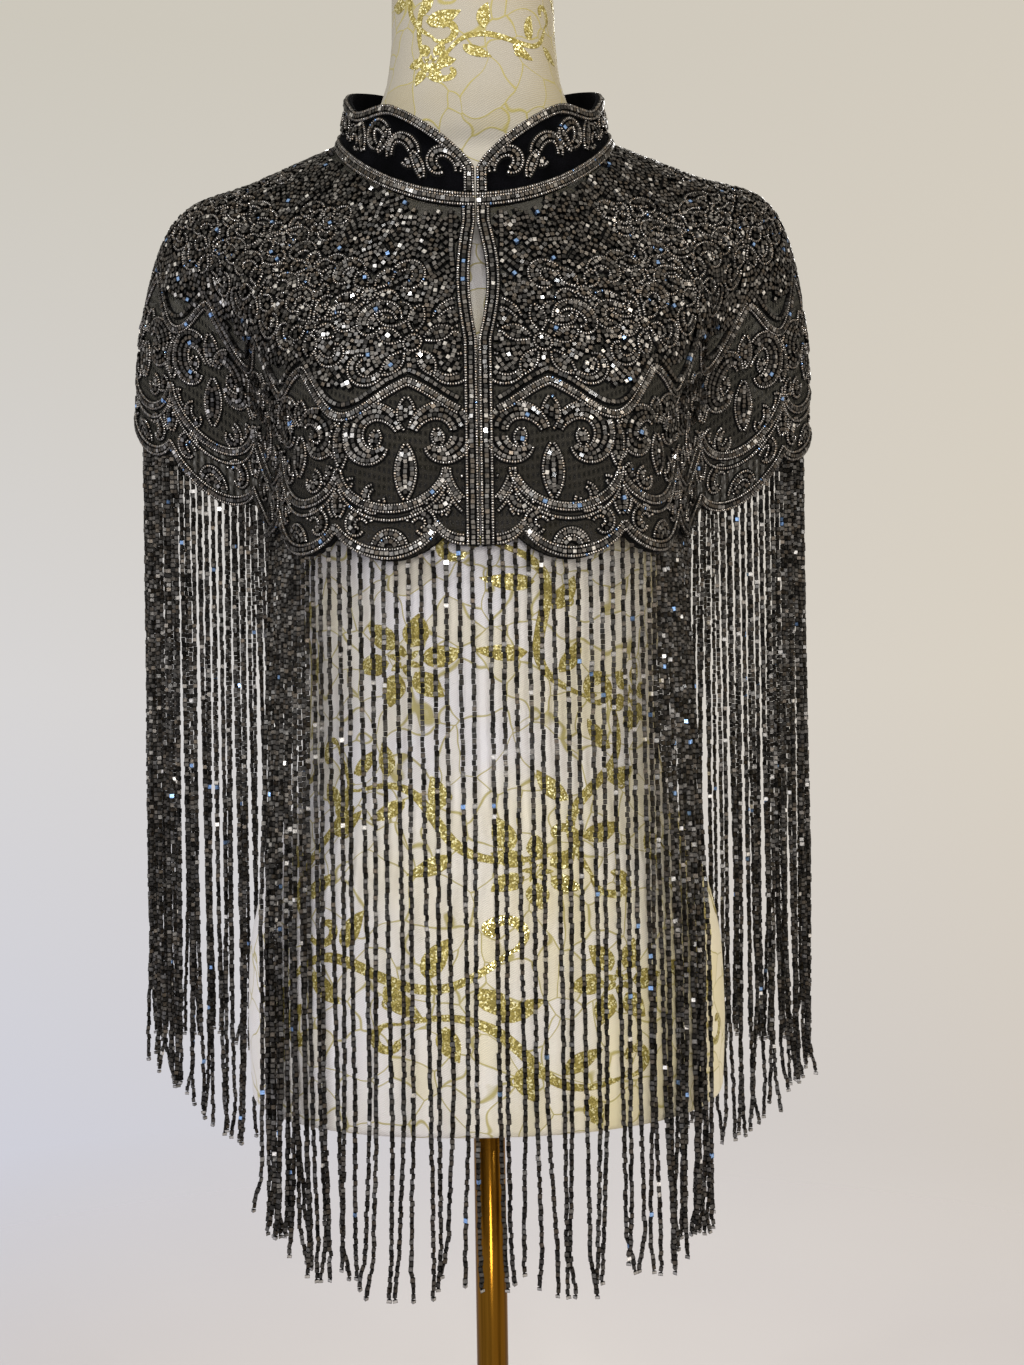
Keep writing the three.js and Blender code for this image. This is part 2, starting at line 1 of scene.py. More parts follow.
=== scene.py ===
import math
from itertools import product

import bmesh
import bpy
import numpy as np
from mathutils import Euler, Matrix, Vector


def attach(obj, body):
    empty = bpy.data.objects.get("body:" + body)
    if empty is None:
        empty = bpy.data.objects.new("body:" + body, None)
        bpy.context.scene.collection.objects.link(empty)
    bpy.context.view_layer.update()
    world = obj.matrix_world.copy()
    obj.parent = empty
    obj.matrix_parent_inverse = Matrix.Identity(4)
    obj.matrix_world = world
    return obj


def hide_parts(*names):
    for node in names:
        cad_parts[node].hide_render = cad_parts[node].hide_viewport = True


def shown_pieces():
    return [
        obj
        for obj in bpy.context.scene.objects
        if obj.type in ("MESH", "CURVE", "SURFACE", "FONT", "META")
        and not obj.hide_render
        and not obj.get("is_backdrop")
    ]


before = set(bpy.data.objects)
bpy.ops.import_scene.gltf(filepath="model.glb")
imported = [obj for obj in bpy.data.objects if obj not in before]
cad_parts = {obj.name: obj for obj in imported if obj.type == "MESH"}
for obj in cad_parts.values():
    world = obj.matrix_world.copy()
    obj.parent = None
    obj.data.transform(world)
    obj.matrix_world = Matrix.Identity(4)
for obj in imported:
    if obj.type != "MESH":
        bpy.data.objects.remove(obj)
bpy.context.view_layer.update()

# Beaded fringe capelet on a dress form. Sizes are in millimetres and turn to metres in makeMesh.
# Left is -X, as seen from the front.
metres = 0.001
print("frame loaded,", len(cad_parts), "solids")


def addObject(name, data):
    piece = bpy.data.objects.new(name, data)
    bpy.context.collection.objects.link(piece)
    return piece


def makeMesh(name, points, faces, material, smooth=True):
    mesh = bpy.data.meshes.new(name)
    mesh.from_pydata((np.asarray(points) * metres).tolist(), [], np.asarray(faces).tolist())
    mesh.validate()
    mesh.polygons.foreach_set("use_smooth", [smooth] * len(mesh.polygons))
    mesh.materials.append(material)
    return addObject(name, mesh)


def reshaped(piece, change):
    # change works on the piece's mesh as a bmesh
    shape = bmesh.new()
    shape.from_mesh(piece.data)
    change(shape)
    bmesh.ops.recalc_face_normals(shape, faces=shape.faces)
    shape.to_mesh(piece.data)
    shape.free()
    return piece


def joined(name, pieces):
    with bpy.context.temp_override(active_object=pieces[0], selected_editable_objects=pieces):
        bpy.ops.object.join()
    pieces[0].name = pieces[0].data.name = name
    return pieces[0]


def smoothStep(value, low, high):
    t = np.clip((value - low) / (high - low), 0, 1)
    return t * t * (3 - 2 * t)


def unit(vectors):
    return vectors / np.linalg.norm(vectors, axis=-1, keepdims=True)


def hump(t, power=1, start=0, reach=1):
    # one arch of a sine, or a share of one, for shapes that are broad in the middle
    return np.sin(np.pi * (start + reach * t)) ** power


def extended(rows):
    # one more row at both ends, in line with the last two
    return np.concatenate([2 * rows[:1] - rows[1:2], rows, 2 * rows[-1:] - rows[-2:-1]])


def gridFaces(columns, rows, closed=False):
    # quads between neighbouring columns of points; closed joins the last column to the first
    i = np.arange(columns if closed else columns - 1)[:, None]
    j = np.arange(rows - 1)[None, :]
    a, b = i * rows + j, ((i + 1) % columns) * rows + j
    return np.stack([a, a + 1, b + 1, b], axis=-1).reshape(-1, 4)


def wallPoints(outer, inner):
    # a closed wall between two grids of points of the same size
    columns, rows = outer.shape[:2]
    count = columns * rows
    points = np.concatenate([outer.reshape(-1, 3), inner.reshape(-1, 3)])
    front = gridFaces(columns, rows)
    index = np.arange(count).reshape(columns, rows)
    sides = [front, front[:, ::-1] + count]
    for line in (index[:, 0], index[::-1, -1], index[-1, :], index[0, ::-1]):
        a, b = line[:-1], line[1:]
        sides.append(np.stack([a, b, b + count, a + count], axis=-1))
    faces = np.concatenate(sides)
    a, b, c, d = (points[faces[:, k]] for k in range(4))
    volume = np.einsum("ij,ij->i", a, np.cross(b, c) + np.cross(c, d)).sum()
    return points, faces if volume > 0 else faces[:, ::-1]


cloth = {
    "netWall": 1.6, "velvetWall": 2.0, "netThickness": 0.4, "seamGap": 0.3, "neckInset": 0.2,
    "yokeRise": 1.5, "foldStart": 0.4, "rightSeam": 0.272, "leftSeam": 0.728, "seamFade": 0.25,
    "columns": 230, "rows": 28,
}
neckSeam = {
    "halfWidth": 94, "front": -88, "back": 70,
    "frontHeight": 1273, "sideHeight": 1341, "backHeight": 1364,
}
# name, degrees round the neck, where the cloth turns over to hang, foot of the scallops, bow
capeLines = [
    ("centre front", 0, (0, -112, 1165), (0, -124, 1046), 2),
    ("bust", 17, (56, -109, 1168), (60, -119, 1046), 2),
    ("side front", 33, (100, -94, 1182), (108, -96, 1050), 1),
    ("valley", 48, (135, -67, 1210), (136, -44, 1064), -2),
    ("valley back", 62, (168, -34, 1250), (162, 10, 1080), -5),
    ("arm front", 77, (199, -4, 1286), (214, 32, 1114), 7),
    ("arm", 92, (213, 22, 1300), (246, 64, 1146), 11),
    ("arm back", 107, (203, 48, 1291), (231, 108, 1146), 9),
    ("blade", 123, (168, 78, 1268), (176, 137, 1128), 4),
    ("back", 141, (116, 100, 1252), (118, 146, 1110), 3),
    ("back middle", 160, (58, 112, 1246), (60, 148, 1098), 2),
    ("centre back", 180, (0, 116, 1245), (0, 147, 1094), 2),
]
# share of the hem, depth at the hem, width as a share
softFolds = [
    (0.172, 6, 0.03), (0.232, -4, 0.028), (0.352, 7, 0.034), (0.43, 6, 0.03), (0.50, -4, 0.03),
    (0.575, 7, 0.032), (0.655, 6, 0.036), (0.77, -5, 0.03), (0.835, 7, 0.03),
]
leftHitch = {"out": 7, "up": 13}
rightShoulderRise = 5
armStart = 0.6       # the sine of the turn round the neck at which the arm begins
hem = {
    "scallops": 9, "scallopDepth": 18, "frontWidth": 20.5, "frontDepth": 10, "roundness": 0.75,
    "bandWidth": 7.5,
}
opening = {"bandWidth": 9, "meet": 0.3, "top": 0.05, "foot": 0.42, "left": 4, "right": 5.6}
ringSteps = 880
nearHem = 0.95       # how far down lengths at the hem are measured
nudge = {"tangent": 1e-4, "face": 0.002, "down": 0.01}


def cubicThrough(p0, p1, p2, p3, weight):
    # one stretch of a smooth curve from p1 to p2, with tension 0.5
    t0, t1 = 0.5 * (p2 - p0), 0.5 * (p3 - p1)
    w = weight[..., None]
    return p1 + t0 * w + (-3 * p1 + 3 * p2 - 2 * t0 - t1) * w ** 2 + (2 * p1 - 2 * p2 + t0 + t1) * w ** 3


class ClosedRing:
    # a smooth closed curve through one point on each line of the cape, on both sides
    def __init__(self, pointOf):
        right = np.array([pointOf(line, 1) for line in capeLines], float)
        left = np.array([pointOf(line, -1) for line in capeLines[-2:0:-1]], float) * (-1, 1, 1)
        self.points = np.concatenate([right, left])
        self.places = np.linspace(0, 1, ringSteps + 1)
        steps = np.linalg.norm(np.diff(self.at(self.places), axis=0), axis=1)
        self.lengths = np.concatenate([[0], np.cumsum(steps)])
        self.length = self.lengths[-1]

    def at(self, ring):
        count = len(self.points)
        place = np.asarray(ring, float) % 1 * count
        start = np.floor(place).astype(int)
        return cubicThrough(*(self.points[(start + k) % count] for k in (-1, 0, 1, 2)), place - start)

    def outward(self, ring):
        run = self.at(ring + nudge["tangent"]) - self.at(ring - nudge["tangent"])
        return unit(np.stack([run[..., 1], -run[..., 0], 0 * run[..., 0]], axis=-1))

    def ringAt(self, share):
        return np.interp(np.asarray(share, float) % 1 * self.length, self.lengths, self.places)

    def shareOf(self, ring):
        return np.interp(np.asarray(ring, float) % 1, self.places, self.lengths / self.length)


def neckPoint(line, side):
    turn = math.radians(line[1])
    reach = (neckSeam["back"] - neckSeam["front"]) / 2
    middle = (neckSeam["front"] + neckSeam["back"]) / 2
    mean = (neckSeam["frontHeight"] + neckSeam["backHeight"]) / 2
    tilt = (neckSeam["backHeight"] - neckSeam["frontHeight"]) / 2
    crown = neckSeam["sideHeight"] - mean
    height = mean - tilt * math.cos(turn) + crown * math.sin(turn) ** 2
    return neckSeam["halfWidth"] * math.sin(turn), middle - reach * math.cos(turn), height


def armShare(line):
    # 0 at the middle of the front and back, 1 over the arms
    return float(smoothStep(math.sin(math.radians(line[1])), armStart, 1))


def shoulderPoint(line, side):
    rise = rightShoulderRise * armShare(line) if side > 0 else 0
    return Vector(line[2]) + Vector((0, 0, rise))


def hemPoint(line, side):
    hitch = armShare(line) if side < 0 else 0
    return Vector(line[3]) + Vector((leftHitch["out"], 0, leftHitch["up"])) * hitch


def bellyPoint(line, side):
    belly = (shoulderPoint(line, side) + hemPoint(line, side)) / 2
    return belly + Vector((belly.x, belly.y, 0)).normalized() * line[4]


neckRing, shoulderRing, bellyRing, hemRing = (
    ClosedRing(pointOf) for pointOf in (neckPoint, shoulderPoint, bellyPoint, hemPoint)
)
hemLength, neckLength = hemRing.length, neckRing.length
scallopWidth = (hemLength / 2 - hem["frontWidth"]) / hem["scallops"]


def foldDepth(ring, down):
    share = hemRing.shareOf(ring)
    reach = smoothStep(down, cloth["foldStart"], 1)
    return sum(depth * reach * np.exp(-((share - place) / width) ** 2) for place, depth, width in softFolds)


def clothFace(ring, down):
    # the cloth's outer face: ring is a share round the cape, down runs from the neck 0 to the hem 1
    ring, down = np.broadcast_arrays(np.asarray(ring, float), np.asarray(down, float))
    neck, shoulder = neckRing.at(ring), shoulderRing.at(ring)
    yoke = (neck + shoulder) / 2 + (0, 0, cloth["yokeRise"])
    line = extended(np.stack([neck, yoke, shoulder, bellyRing.at(ring), hemRing.at(ring)]))
    stretches = len(line) - 3
    place = np.clip(down, 0, 1) * stretches
    start = np.minimum(np.floor(place).astype(int), stretches - 1)
    p = [np.take_along_axis(line, (start + k)[None, ..., None], axis=0)[0] for k in range(4)]
    return cubicThrough(*p, place - start) - hemRing.outward(ring) * foldDepth(ring, down)[..., None]


def runAcross(ring, down):
    return clothFace(ring + nudge["face"], down) - clothFace(ring - nudge["face"], down)


def clothNormal(ring, down):
    low, high = np.maximum(down - nudge["face"], 0), np.minimum(down + nudge["face"], 1)
    return unit(np.cross(clothFace(ring, high) - clothFace(ring, low), runAcross(ring, down)))


def clothPoint(ring, down, lift):
    return clothFace(ring, down) + clothNormal(ring, down) * lift


def ringPerMm(ring, down):
    return 2 * nudge["face"] / np.linalg.norm(runAcross(ring, down), axis=-1)


def downPerMm(ring, down):
    low, high = np.maximum(down - nudge["down"], 0), np.minimum(down + nudge["down"], 1)
    return (high - low) / np.linalg.norm(clothFace(ring, high) - clothFace(ring, low), axis=-1)


def edgeRise(ring):
    # how far the scalloped edge lies above the foot of the scallops
    share = hemRing.shareOf(ring)
    away = np.minimum(share, 1 - share) * hemLength
    beyond = away - hem["frontWidth"]
    place = np.where(beyond < 0, away / hem["frontWidth"], 2 * (beyond / scallopWidth % 1) - 1)
    depth = np.where(beyond < 0, hem["frontDepth"], hem["scallopDepth"])
    return hem["scallopDepth"] - depth * np.clip(1 - place ** 2, 0, 1) ** hem["roundness"]


def hemEdge(ring):
    return 1 - edgeRise(ring) * downPerMm(ring, nearHem)


def frontEdge(side, down):
    reach = (down - opening["top"]) / (opening["foot"] - opening["top"])
    spread = opening["right"] if side > 0 else opening["left"]
    return opening["meet"] + spread * np.where((reach > 0) & (reach < 1), np.sin(np.pi * reach), 0)


class Graph:
    # a node tree, with short ways to add and link nodes; an input is named with _ for a space,
    # or as i and its number
    def __init__(self, tree):
        self.tree = tree

    def feed(self, socket, value):
        if isinstance(value, bpy.types.NodeSocket):
            self.tree.links.new(value, socket)
        else:
            socket.default_value = value

    def add(self, kind, settings=(), **inputs):
        node = self.tree.nodes.new(kind)
        for key, value in dict(settings).items():
            setattr(node, key, value)
        for key, value in inputs.items():
            numbered = key[0] == "i" and key[1:].isdigit()
            self.feed(node.inputs[int(key[1:]) if numbered else key.replace("_", " ")], value)
        return node

    def ramp(self, factor, stops):
        node = self.add("ShaderNodeValToRGB", (), Fac=factor)
        elements = node.color_ramp.elements
        while len(elements) < len(stops):
            elements.new(0.5)
        for element, (place, colour) in zip(elements, stops):
            element.position, element.color = place, (*colour, 1)
        return node.outputs["Color"]

    def fade(self, factor, *stops):
        return self.ramp(factor, [(place, grey(level)) for place, level in stops])

    def maths(self, operation, a, b=0.0, clamp=False):
        return self.add("ShaderNodeMath", {"operation": operation, "use_clamp": clamp}, i0=a, i1=b).outputs[0]

    def mix(self, factor, a, b, blend="MIX"):
        a, b = ((*value, 1) if isinstance(value, tuple) else value for value in (a, b))
        kind = {"data_type": "RGBA", "blend_type": blend}
        return self.add("ShaderNodeMix", kind, i0=factor, i6=a, i7=b).outputs[2]

    def multiply(self, a, b):
        return self.mix(1.0, a, b, "MULTIPLY")

    def part(self, vector, axis):
        return self.add("ShaderNodeSeparateXYZ", (), Vector=vector).outputs[axis]

    def place(self):
        return self.add("ShaderNodeTexCoord").outputs["Object"]

    def noise(self, scale, detail, output="Fac", vector=None):
        vector = vector or self.place()
        return self.add("ShaderNodeTexNoise", (), Vector=vector, Scale=scale, Detail=detail).outputs[output]


class Surface(Graph):
    # a material
    def __init__(self, name, **values):
        self.material = bpy.data.materials.new(name)
        self.material.use_nodes = True
        super().__init__(self.material.node_tree)
        self.shader = self.tree.nodes["Principled BSDF"]
        self.out(**values)

    def out(self, **values):
        for key, value in values.items():
            self.feed(self.shader.inputs[key.replace("_", " ")], value)

    def bump(self, height, strength, distance):
        node = self.add("ShaderNodeBump", (), Strength=strength, Distance=distance, Height=height)
        self.out(Normal=node.outputs[0])


def grey(level, warm=0.0):
    # a grey, drawn a little towards brown
    return (level * (1 + warm), level, level * (1 - warm))


def beadGlass(name, dark, middle, light, rough=(0.34, 0.28, 0.10), rim=(0.7, 0.55), coat=0.3, sides=4):
    # tint runs from 0 to 1: dark, middling and light glass, then a few bright and a few blue ones.
    # The map's lower half is the ends and its upper half runs along the bead and once round it. A
    # bead's colour and coat carry painted shade, darker at its ends and long edges, which leaves a painted
    # highlight down its middle; sides is how many long edges it has.
    sheet = Surface(name, Metallic=0.85, Coat_Roughness=0.1, Specular_Tint=(0.3, 0.3, 0.3, 1))
    tint = sheet.add("ShaderNodeAttribute", {"attribute_name": "tint"}).outputs["Fac"]
    bead = sheet.add("ShaderNodeUVMap").outputs["UV"]
    high = sheet.maths("MULTIPLY", sheet.part(bead, "Y"), 4)
    along = sheet.maths("ABSOLUTE", sheet.maths("SUBTRACT", high, 3))
    around = sheet.maths("FRACT", sheet.maths("MULTIPLY", sheet.part(bead, "X"), sides))
    across = sheet.maths("MULTIPLY", sheet.maths("ABSOLUTE", sheet.maths("SUBTRACT", around, 0.5)), 2)
    # painted shade at the ends and long edges, and so a painted highlight down the middle
    ends = sheet.fade(along, (rim[0], 1.0), (0.92, 0.05))
    shape = sheet.multiply(ends, sheet.fade(across, (0.7, 1.0), (1.0, rim[1])))
    colour = sheet.ramp(tint, [
        (0.0, grey(dark, 0.04)), (0.4, grey(middle, 0.07)), (0.6, grey(middle * 0.8, 0.22)),
        (0.75, grey(middle * 1.2, 0.03)), (0.92, grey(light, 0.03)), (0.95, grey(0.85, 0.02)),
        (0.972, grey(0.9, 0.02)), (0.98, (0.22, 0.36, 0.75)), (1.0, (0.30, 0.50, 0.9)),
    ])
    shade = sheet.ramp(sheet.noise(900.0, 1.0), [(0.3, grey(0.6)), (0.7, grey(1.3, 0.03))])
    sheet.out(
        Base_Color=sheet.multiply(sheet.multiply(colour, shade), shape),
        Coat_Weight=sheet.maths("MULTIPLY", shape, coat),
        Roughness=sheet.fade(tint, (0.0, rough[0]), (0.7, rough[1]), (0.95, rough[2])),
    )
    return sheet.material


def netCloth():
    # sheer dark net: fine threads both ways, less see-through low down, and darker there by painted shade
    sheet = Surface("dark_net", Roughness=0.9, Specular_IOR_Level=0.15)
    threads = sheet.add("ShaderNodeUVMap").outputs["UV"]
    weave = sheet.maths("MAXIMUM", *(
        sheet.add("ShaderNodeTexWave", {"bands_direction": axis}, Vector=threads, Scale=scale,
                  Distortion=0.6, Detail=1.0).outputs["Fac"]
        for axis, scale in (("X", 95.0), ("Y", 60.0))
    ))
    high = sheet.maths("SUBTRACT", sheet.part(sheet.place(), "Z"), 1.0)
    # painted shade: the net's colour is darker low down
    level = sheet.ramp(high, [(0.10, (0.021, 0.0185, 0.0145)), (0.24, (0.055, 0.052, 0.042))])
    wearAndSheen = sheet.fade(sheet.noise(35.0, 2.0), (0.3, 0.8), (0.7, 1.2))
    lower, upper = (sheet.fade(weave, (0.1, low), (0.9, top)) for low, top in ((0.55, 0.80), (0.42, 0.66)))
    sheet.out(
        Base_Color=sheet.mix(weave, grey(0.004), sheet.multiply(level, wearAndSheen)),
        Alpha=sheet.mix(sheet.fade(high, (0.10, 0.0), (0.22, 1.0)), lower, upper),
    )
    sheet.bump(weave, 0.3, 0.0003)
    return sheet.material


def darkTapeAndShadow():
    # black tape, and also the painted shadow in the patches under the beads
    sheet = Surface("dark_tape", Roughness=0.95, Specular_IOR_Level=0.1)
    grain = sheet.noise(700.0, 2.0)
    sheet.out(Base_Color=sheet.fade(grain, (0.3, 0.001), (0.7, 0.004)))
    sheet.bump(grain, 0.5, 0.0003)
    return sheet.material


def blackVelvet():
    sheet = Surface("black_velvet", Roughness=1.0, Specular_IOR_Level=0.04, Sheen_Weight=0.02,
                    Sheen_Roughness=0.35, Sheen_Tint=(0.25, 0.25, 0.3, 1))
    pile = sheet.noise(1500.0, 3.0)
    brushed = sheet.maths("MULTIPLY", pile, sheet.noise(60.0, 2.0))
    # the lighter pile colour is painted sheen; the darker one is the velvet's black
    deep, wearAndSheen = (0.0004, 0.0004, 0.0006), (0.003, 0.003, 0.004)
    sheet.out(Base_Color=sheet.ramp(brushed, [(0.15, deep), (0.45, wearAndSheen)]))
    sheet.bump(pile, 0.6, 0.0004)
    return sheet.material


def laceCover():
    # stretched ivory lace: a fine slanted net, thin gold cell lines and faint straw-coloured patches
    sheet = Surface("ivory_lace", Roughness=0.7, Sheen_Weight=0.1, Sheen_Roughness=0.4)
    place = sheet.place()
    warmer = sheet.maths("MULTIPLY", sheet.part(place, "X"), 1.6)
    patch = sheet.fade(sheet.maths("ADD", sheet.noise(8.0, 2.0), warmer), (0.38, 0.0), (0.72, 1.0))
    plain = sheet.mix(patch, (0.73, 0.71, 0.74), (0.75, 0.67, 0.46))
    slant = sheet.add("ShaderNodeMapping", (), Vector=place, Rotation=(0.2, 0.5, 0.7)).outputs[0]
    mesh = sheet.add("ShaderNodeTexWave", {"bands_direction": "Z"}, Vector=slant, Scale=260.0,
                     Distortion=1.5, Detail=1.0, Detail_Scale=2.0).outputs["Fac"]
    warped = sheet.mix(0.035, place, sheet.noise(28.0, 1.0, "Color"), "ADD")
    cells, edges = (
        sheet.add("ShaderNodeTexVoronoi", {"feature": feature}, Vector=warped, Scale=38.0)
        for feature in ("F1", "DISTANCE_TO_EDGE")
    )
    chosen = sheet.add("ShaderNodeSeparateColor", (), Color=cells.outputs["Color"]).outputs[0]
    straw = sheet.fade(sheet.maths("ADD", chosen, warmer), (0.55, 0.0), (0.9, 0.4))
    high = sheet.maths("SUBTRACT", sheet.part(place, "Z"), 1.0)
    throat = sheet.ramp(high, [(0.28, grey(1.0)), (0.36, (0.50, 0.46, 0.34))])
    ivory = sheet.multiply(sheet.mix(straw, plain, (0.66, 0.56, 0.24)), throat)
    cover = sheet.mix(sheet.maths("MULTIPLY", mesh, 0.4), ivory, grey(0.40, 0.06))
    line = sheet.fade(edges.outputs["Distance"], (0.008, 1.0), (0.028, 0.0))
    sheet.out(Base_Color=sheet.mix(sheet.maths("MULTIPLY", line, 0.85), cover, (0.36, 0.30, 0.07)))
    sheet.bump(sheet.maths("ADD", mesh, line), 0.3, 0.0004)
    return sheet.material


def goldGlitter():
    sheet = Surface("gold_glitter", Metallic=0.3)
    flakes = sheet.add("ShaderNodeTexVoronoi", {"feature": "F1"}, Vector=sheet.place(), Scale=1100.0)
    tone = sheet.add("ShaderNodeSeparateColor", (), Color=flakes.outputs["Color"]).outputs[0]
    # the palest flakes are painted glints; below them the flakes' own gold tone differs at random
    sheet.out(
        Base_Color=sheet.ramp(tone, [
            (0.0, (0.17, 0.13, 0.02)), (0.5, (0.29, 0.23, 0.045)), (0.8, (0.45, 0.37, 0.11)),
            (0.93, (0.95, 0.88, 0.5)),
        ]),
        Roughness=sheet.fade(tone, (0.5, 0.6), (0.9, 0.25)),
    )
    sheet.bump(tone, 0.35, 0.0004)
    return sheet.material


def brass():
    sheet = Surface("polished_brass", Metallic=1.0)
    # painted reflections: the streaks run up the pole
    upright = sheet.add("ShaderNodeMapping", (), Vector=sheet.place(), Scale=(1, 1, 0.02)).outputs[0]
    streak = sheet.noise(300.0, 2.0, vector=upright)
    sheet.out(
        Base_Color=sheet.ramp(streak, [(0.35, (0.09, 0.038, 0.003)), (0.6, (0.21, 0.095, 0.010))]),
        Roughness=sheet.fade(streak, (0.3, 0.2), (0.7, 0.11)),
    )
    return sheet.material


finish = {
    "net": netCloth(), "tape": darkTapeAndShadow(), "velvet": blackVelvet(), "lace": laceCover(),
    "gold": goldGlitter(), "brass": brass(),
    "seed": beadGlass("gunmetal_seed_beads", 0.16, 0.42, 0.82, rim=(0.15, 0.6), coat=0.5),
    "cut": beadGlass("gunmetal_cut_beads", 0.015, 0.095, 0.42),
    "fringe": beadGlass("gunmetal_fringe_beads", 0.02, 0.065, 0.17, (0.45, 0.4, 0.28), (0.6, 0.6), 0.08, 3),
}
print("materials made")

# pitch is from one bead to the next on its thread, and spread how far sizes vary
beadKinds = {
    "seed": {"sides": 4, "radius": 1.12, "length": 1.5, "pitch": 1.65, "smooth": True, "spread": 0.1},
    "cut": {"sides": 4, "radius": 1.65, "length": 2.95, "pitch": 3.1, "smooth": False, "spread": 0.1},
    "fringe": {"sides": 3, "radius": 1.65, "length": 3.15, "pitch": 3.3, "smooth": False, "spread": 0.06},
}
beadInputs = {
    "Geometry": "Geometry", "Sides": "Int", "Radius": "Float", "Length": "Float", "Spread": "Float",
    "Seed": "Int", "Smooth": "Bool", "Finish": "Material",
}
beadVectors = ("along", "facing", "stretch")
sunk = 0.8           # share of its radius that a bead stands over the cloth
threadStep = 0.4     # how far each way the direction of a thread is measured
flatUp = {"middle": 1.0, "spread": 0.42}     # how far a bead is rolled for one flat side to lie up
# the black patch under each bead is its thread and a painted shadow round it
threadShadowPatch = {"rise": 0.15, "seed": (1.1, 1.9), "cut": (2.05, 2.35)}     # half lengths along and across
glassTint = {"most": 0.9, "bright": 0.95, "brightSpread": 0.015, "blue": 1.0}
sparkle = {"bright": 0.02, "blue": 0.009}    # shares of bright and blue beads
random = np.random.default_rng(20)


def beadTree():
    # a bead on every point, turned by the vectors along and facing and sized by stretch
    graph = Graph(bpy.data.node_groups.new("bead rows", "GeometryNodeTree"))
    for name, kind in beadInputs.items():
        graph.tree.interface.new_socket(name, in_out="INPUT", socket_type="NodeSocket" + kind)
    graph.tree.interface.new_socket("Geometry", in_out="OUTPUT", socket_type="NodeSocketGeometry")
    given, result = graph.add("NodeGroupInput").outputs, graph.add("NodeGroupOutput")
    bead = graph.add("GeometryNodeMeshCylinder", (), Vertices=given["Sides"], Radius=given["Radius"],
                     Depth=given["Length"]).outputs
    mapped = graph.add("GeometryNodeStoreNamedAttribute", {"data_type": "FLOAT2", "domain": "CORNER"},
                       Name="UVMap", Geometry=bead["Mesh"], Value=bead["UV Map"])
    vector = {"data_type": "FLOAT_VECTOR"}
    along, facing, stretch = (
        graph.add("GeometryNodeInputNamedAttribute", vector, Name=name).outputs["Attribute"]
        for name in beadVectors
    )
    upright = graph.add("FunctionNodeAlignRotationToVector", {"axis": "Z", "pivot_axis": "AUTO"},
                        Vector=along)
    turned = graph.add("FunctionNodeAlignRotationToVector", {"axis": "X", "pivot_axis": "Z"}, Vector=facing,
                       Rotation=upright.outputs["Rotation"])
    size = graph.add("FunctionNodeRandomValue", {"data_type": "FLOAT"}, Seed=given["Seed"])
    bounds = [socket for socket in size.inputs if socket.type == "VALUE"]
    for socket, operation in zip(bounds, ("SUBTRACT", "ADD")):
        graph.feed(socket, graph.maths(operation, 1.0, given["Spread"]))
    sized = next(socket for socket in size.outputs if socket.type == "VALUE")
    scale = graph.add("ShaderNodeVectorMath", {"operation": "SCALE"}, i0=stretch, Scale=sized).outputs[0]
    copies = graph.add("GeometryNodeInstanceOnPoints", (), Points=given["Geometry"], Scale=scale,
                       Instance=mapped.outputs["Geometry"], Rotation=turned.outputs["Rotation"])
    made = copies.outputs["Instances"]
    for kind, inputs in (
        ("RealizeInstances", {}), ("SetShadeSmooth", {"Shade_Smooth": given["Smooth"]}),
        ("SetMaterial", {"Material": given["Finish"]}),
    ):
        made = graph.add("GeometryNode" + kind, (), Geometry=made, **inputs).outputs["Geometry"]
    graph.feed(result.inputs["Geometry"], made)
    return graph.tree


beads = beadTree()


def merged(rows):
    return {key: np.concatenate([row[key] for row in rows]) for key in rows[0]}


def beadPiece(name, kind, rows, seed):
    # rows: dictionaries with place, along, facing, stretch and tint for every bead
    row, size = merged(rows), beadKinds[kind]
    points = bpy.data.meshes.new(name + "_points")
    points.vertices.add(len(row["place"]))
    points.vertices.foreach_set("co", (row["place"] * metres).ravel())
    for key in beadVectors:
        points.attributes.new(key, "FLOAT_VECTOR", "POINT").data.foreach_set("vector", row[key].ravel())
    points.attributes.new("tint", "FLOAT", "POINT").data.foreach_set("value", row["tint"])
    source = addObject(name + "_points", points)
    modifier = source.modifiers.new("beads", "NODES")
    modifier.node_group = beads
    values = {
        "Sides": size["sides"], "Radius": size["radius"] * metres, "Length": size["length"] * metres,
        "Spread": size["spread"], "Seed": seed, "Smooth": size["smooth"], "Finish": finish[kind],
    }
    for item in beads.interface.items_tree:
        if item.item_type == "SOCKET" and item.in_out == "INPUT" and item.name in values:
            modifier[item.identifier] = values[item.name]
    whole = bpy.context.evaluated_depsgraph_get()
    made = source.evaluated_get(whole)
    mesh = bpy.data.meshes.new_from_object(made, preserve_all_data_layers=True, depsgraph=whole)
    mesh.name = name
    for key in beadVectors:
        if key in mesh.attributes:
            mesh.attributes.remove(mesh.attributes[key])
    bpy.data.objects.remove(source)
    bpy.data.meshes.remove(points)
    return addObject(name, mesh)


def tints(count, bright=sparkle["bright"], blue=sparkle["blue"]):
    tint, pick = random.random(count) * glassTint["most"], random.random(count)
    isBright = pick < bright
    tint[isBright] = glassTint["bright"] + glassTint["brightSpread"] * random.random(isBright.sum())
    tint[pick > 1 - blue] = glassTint["blue"]
    return tint


def makeRow(kind, place, along, facing, bright=sparkle["bright"]):
    count = len(place)
    roll = flatUp["middle"] + random.uniform(-flatUp["spread"], flatUp["spread"], count)[:, None]
    return {
        "place": place + facing * beadKinds[kind]["radius"] * sunk, "along": along, "up": facing,
        "facing": unit(facing + np.cross(facing, along) * roll),
        "stretch": np.ones((count, 3)), "tint": tints(count, bright),
    }


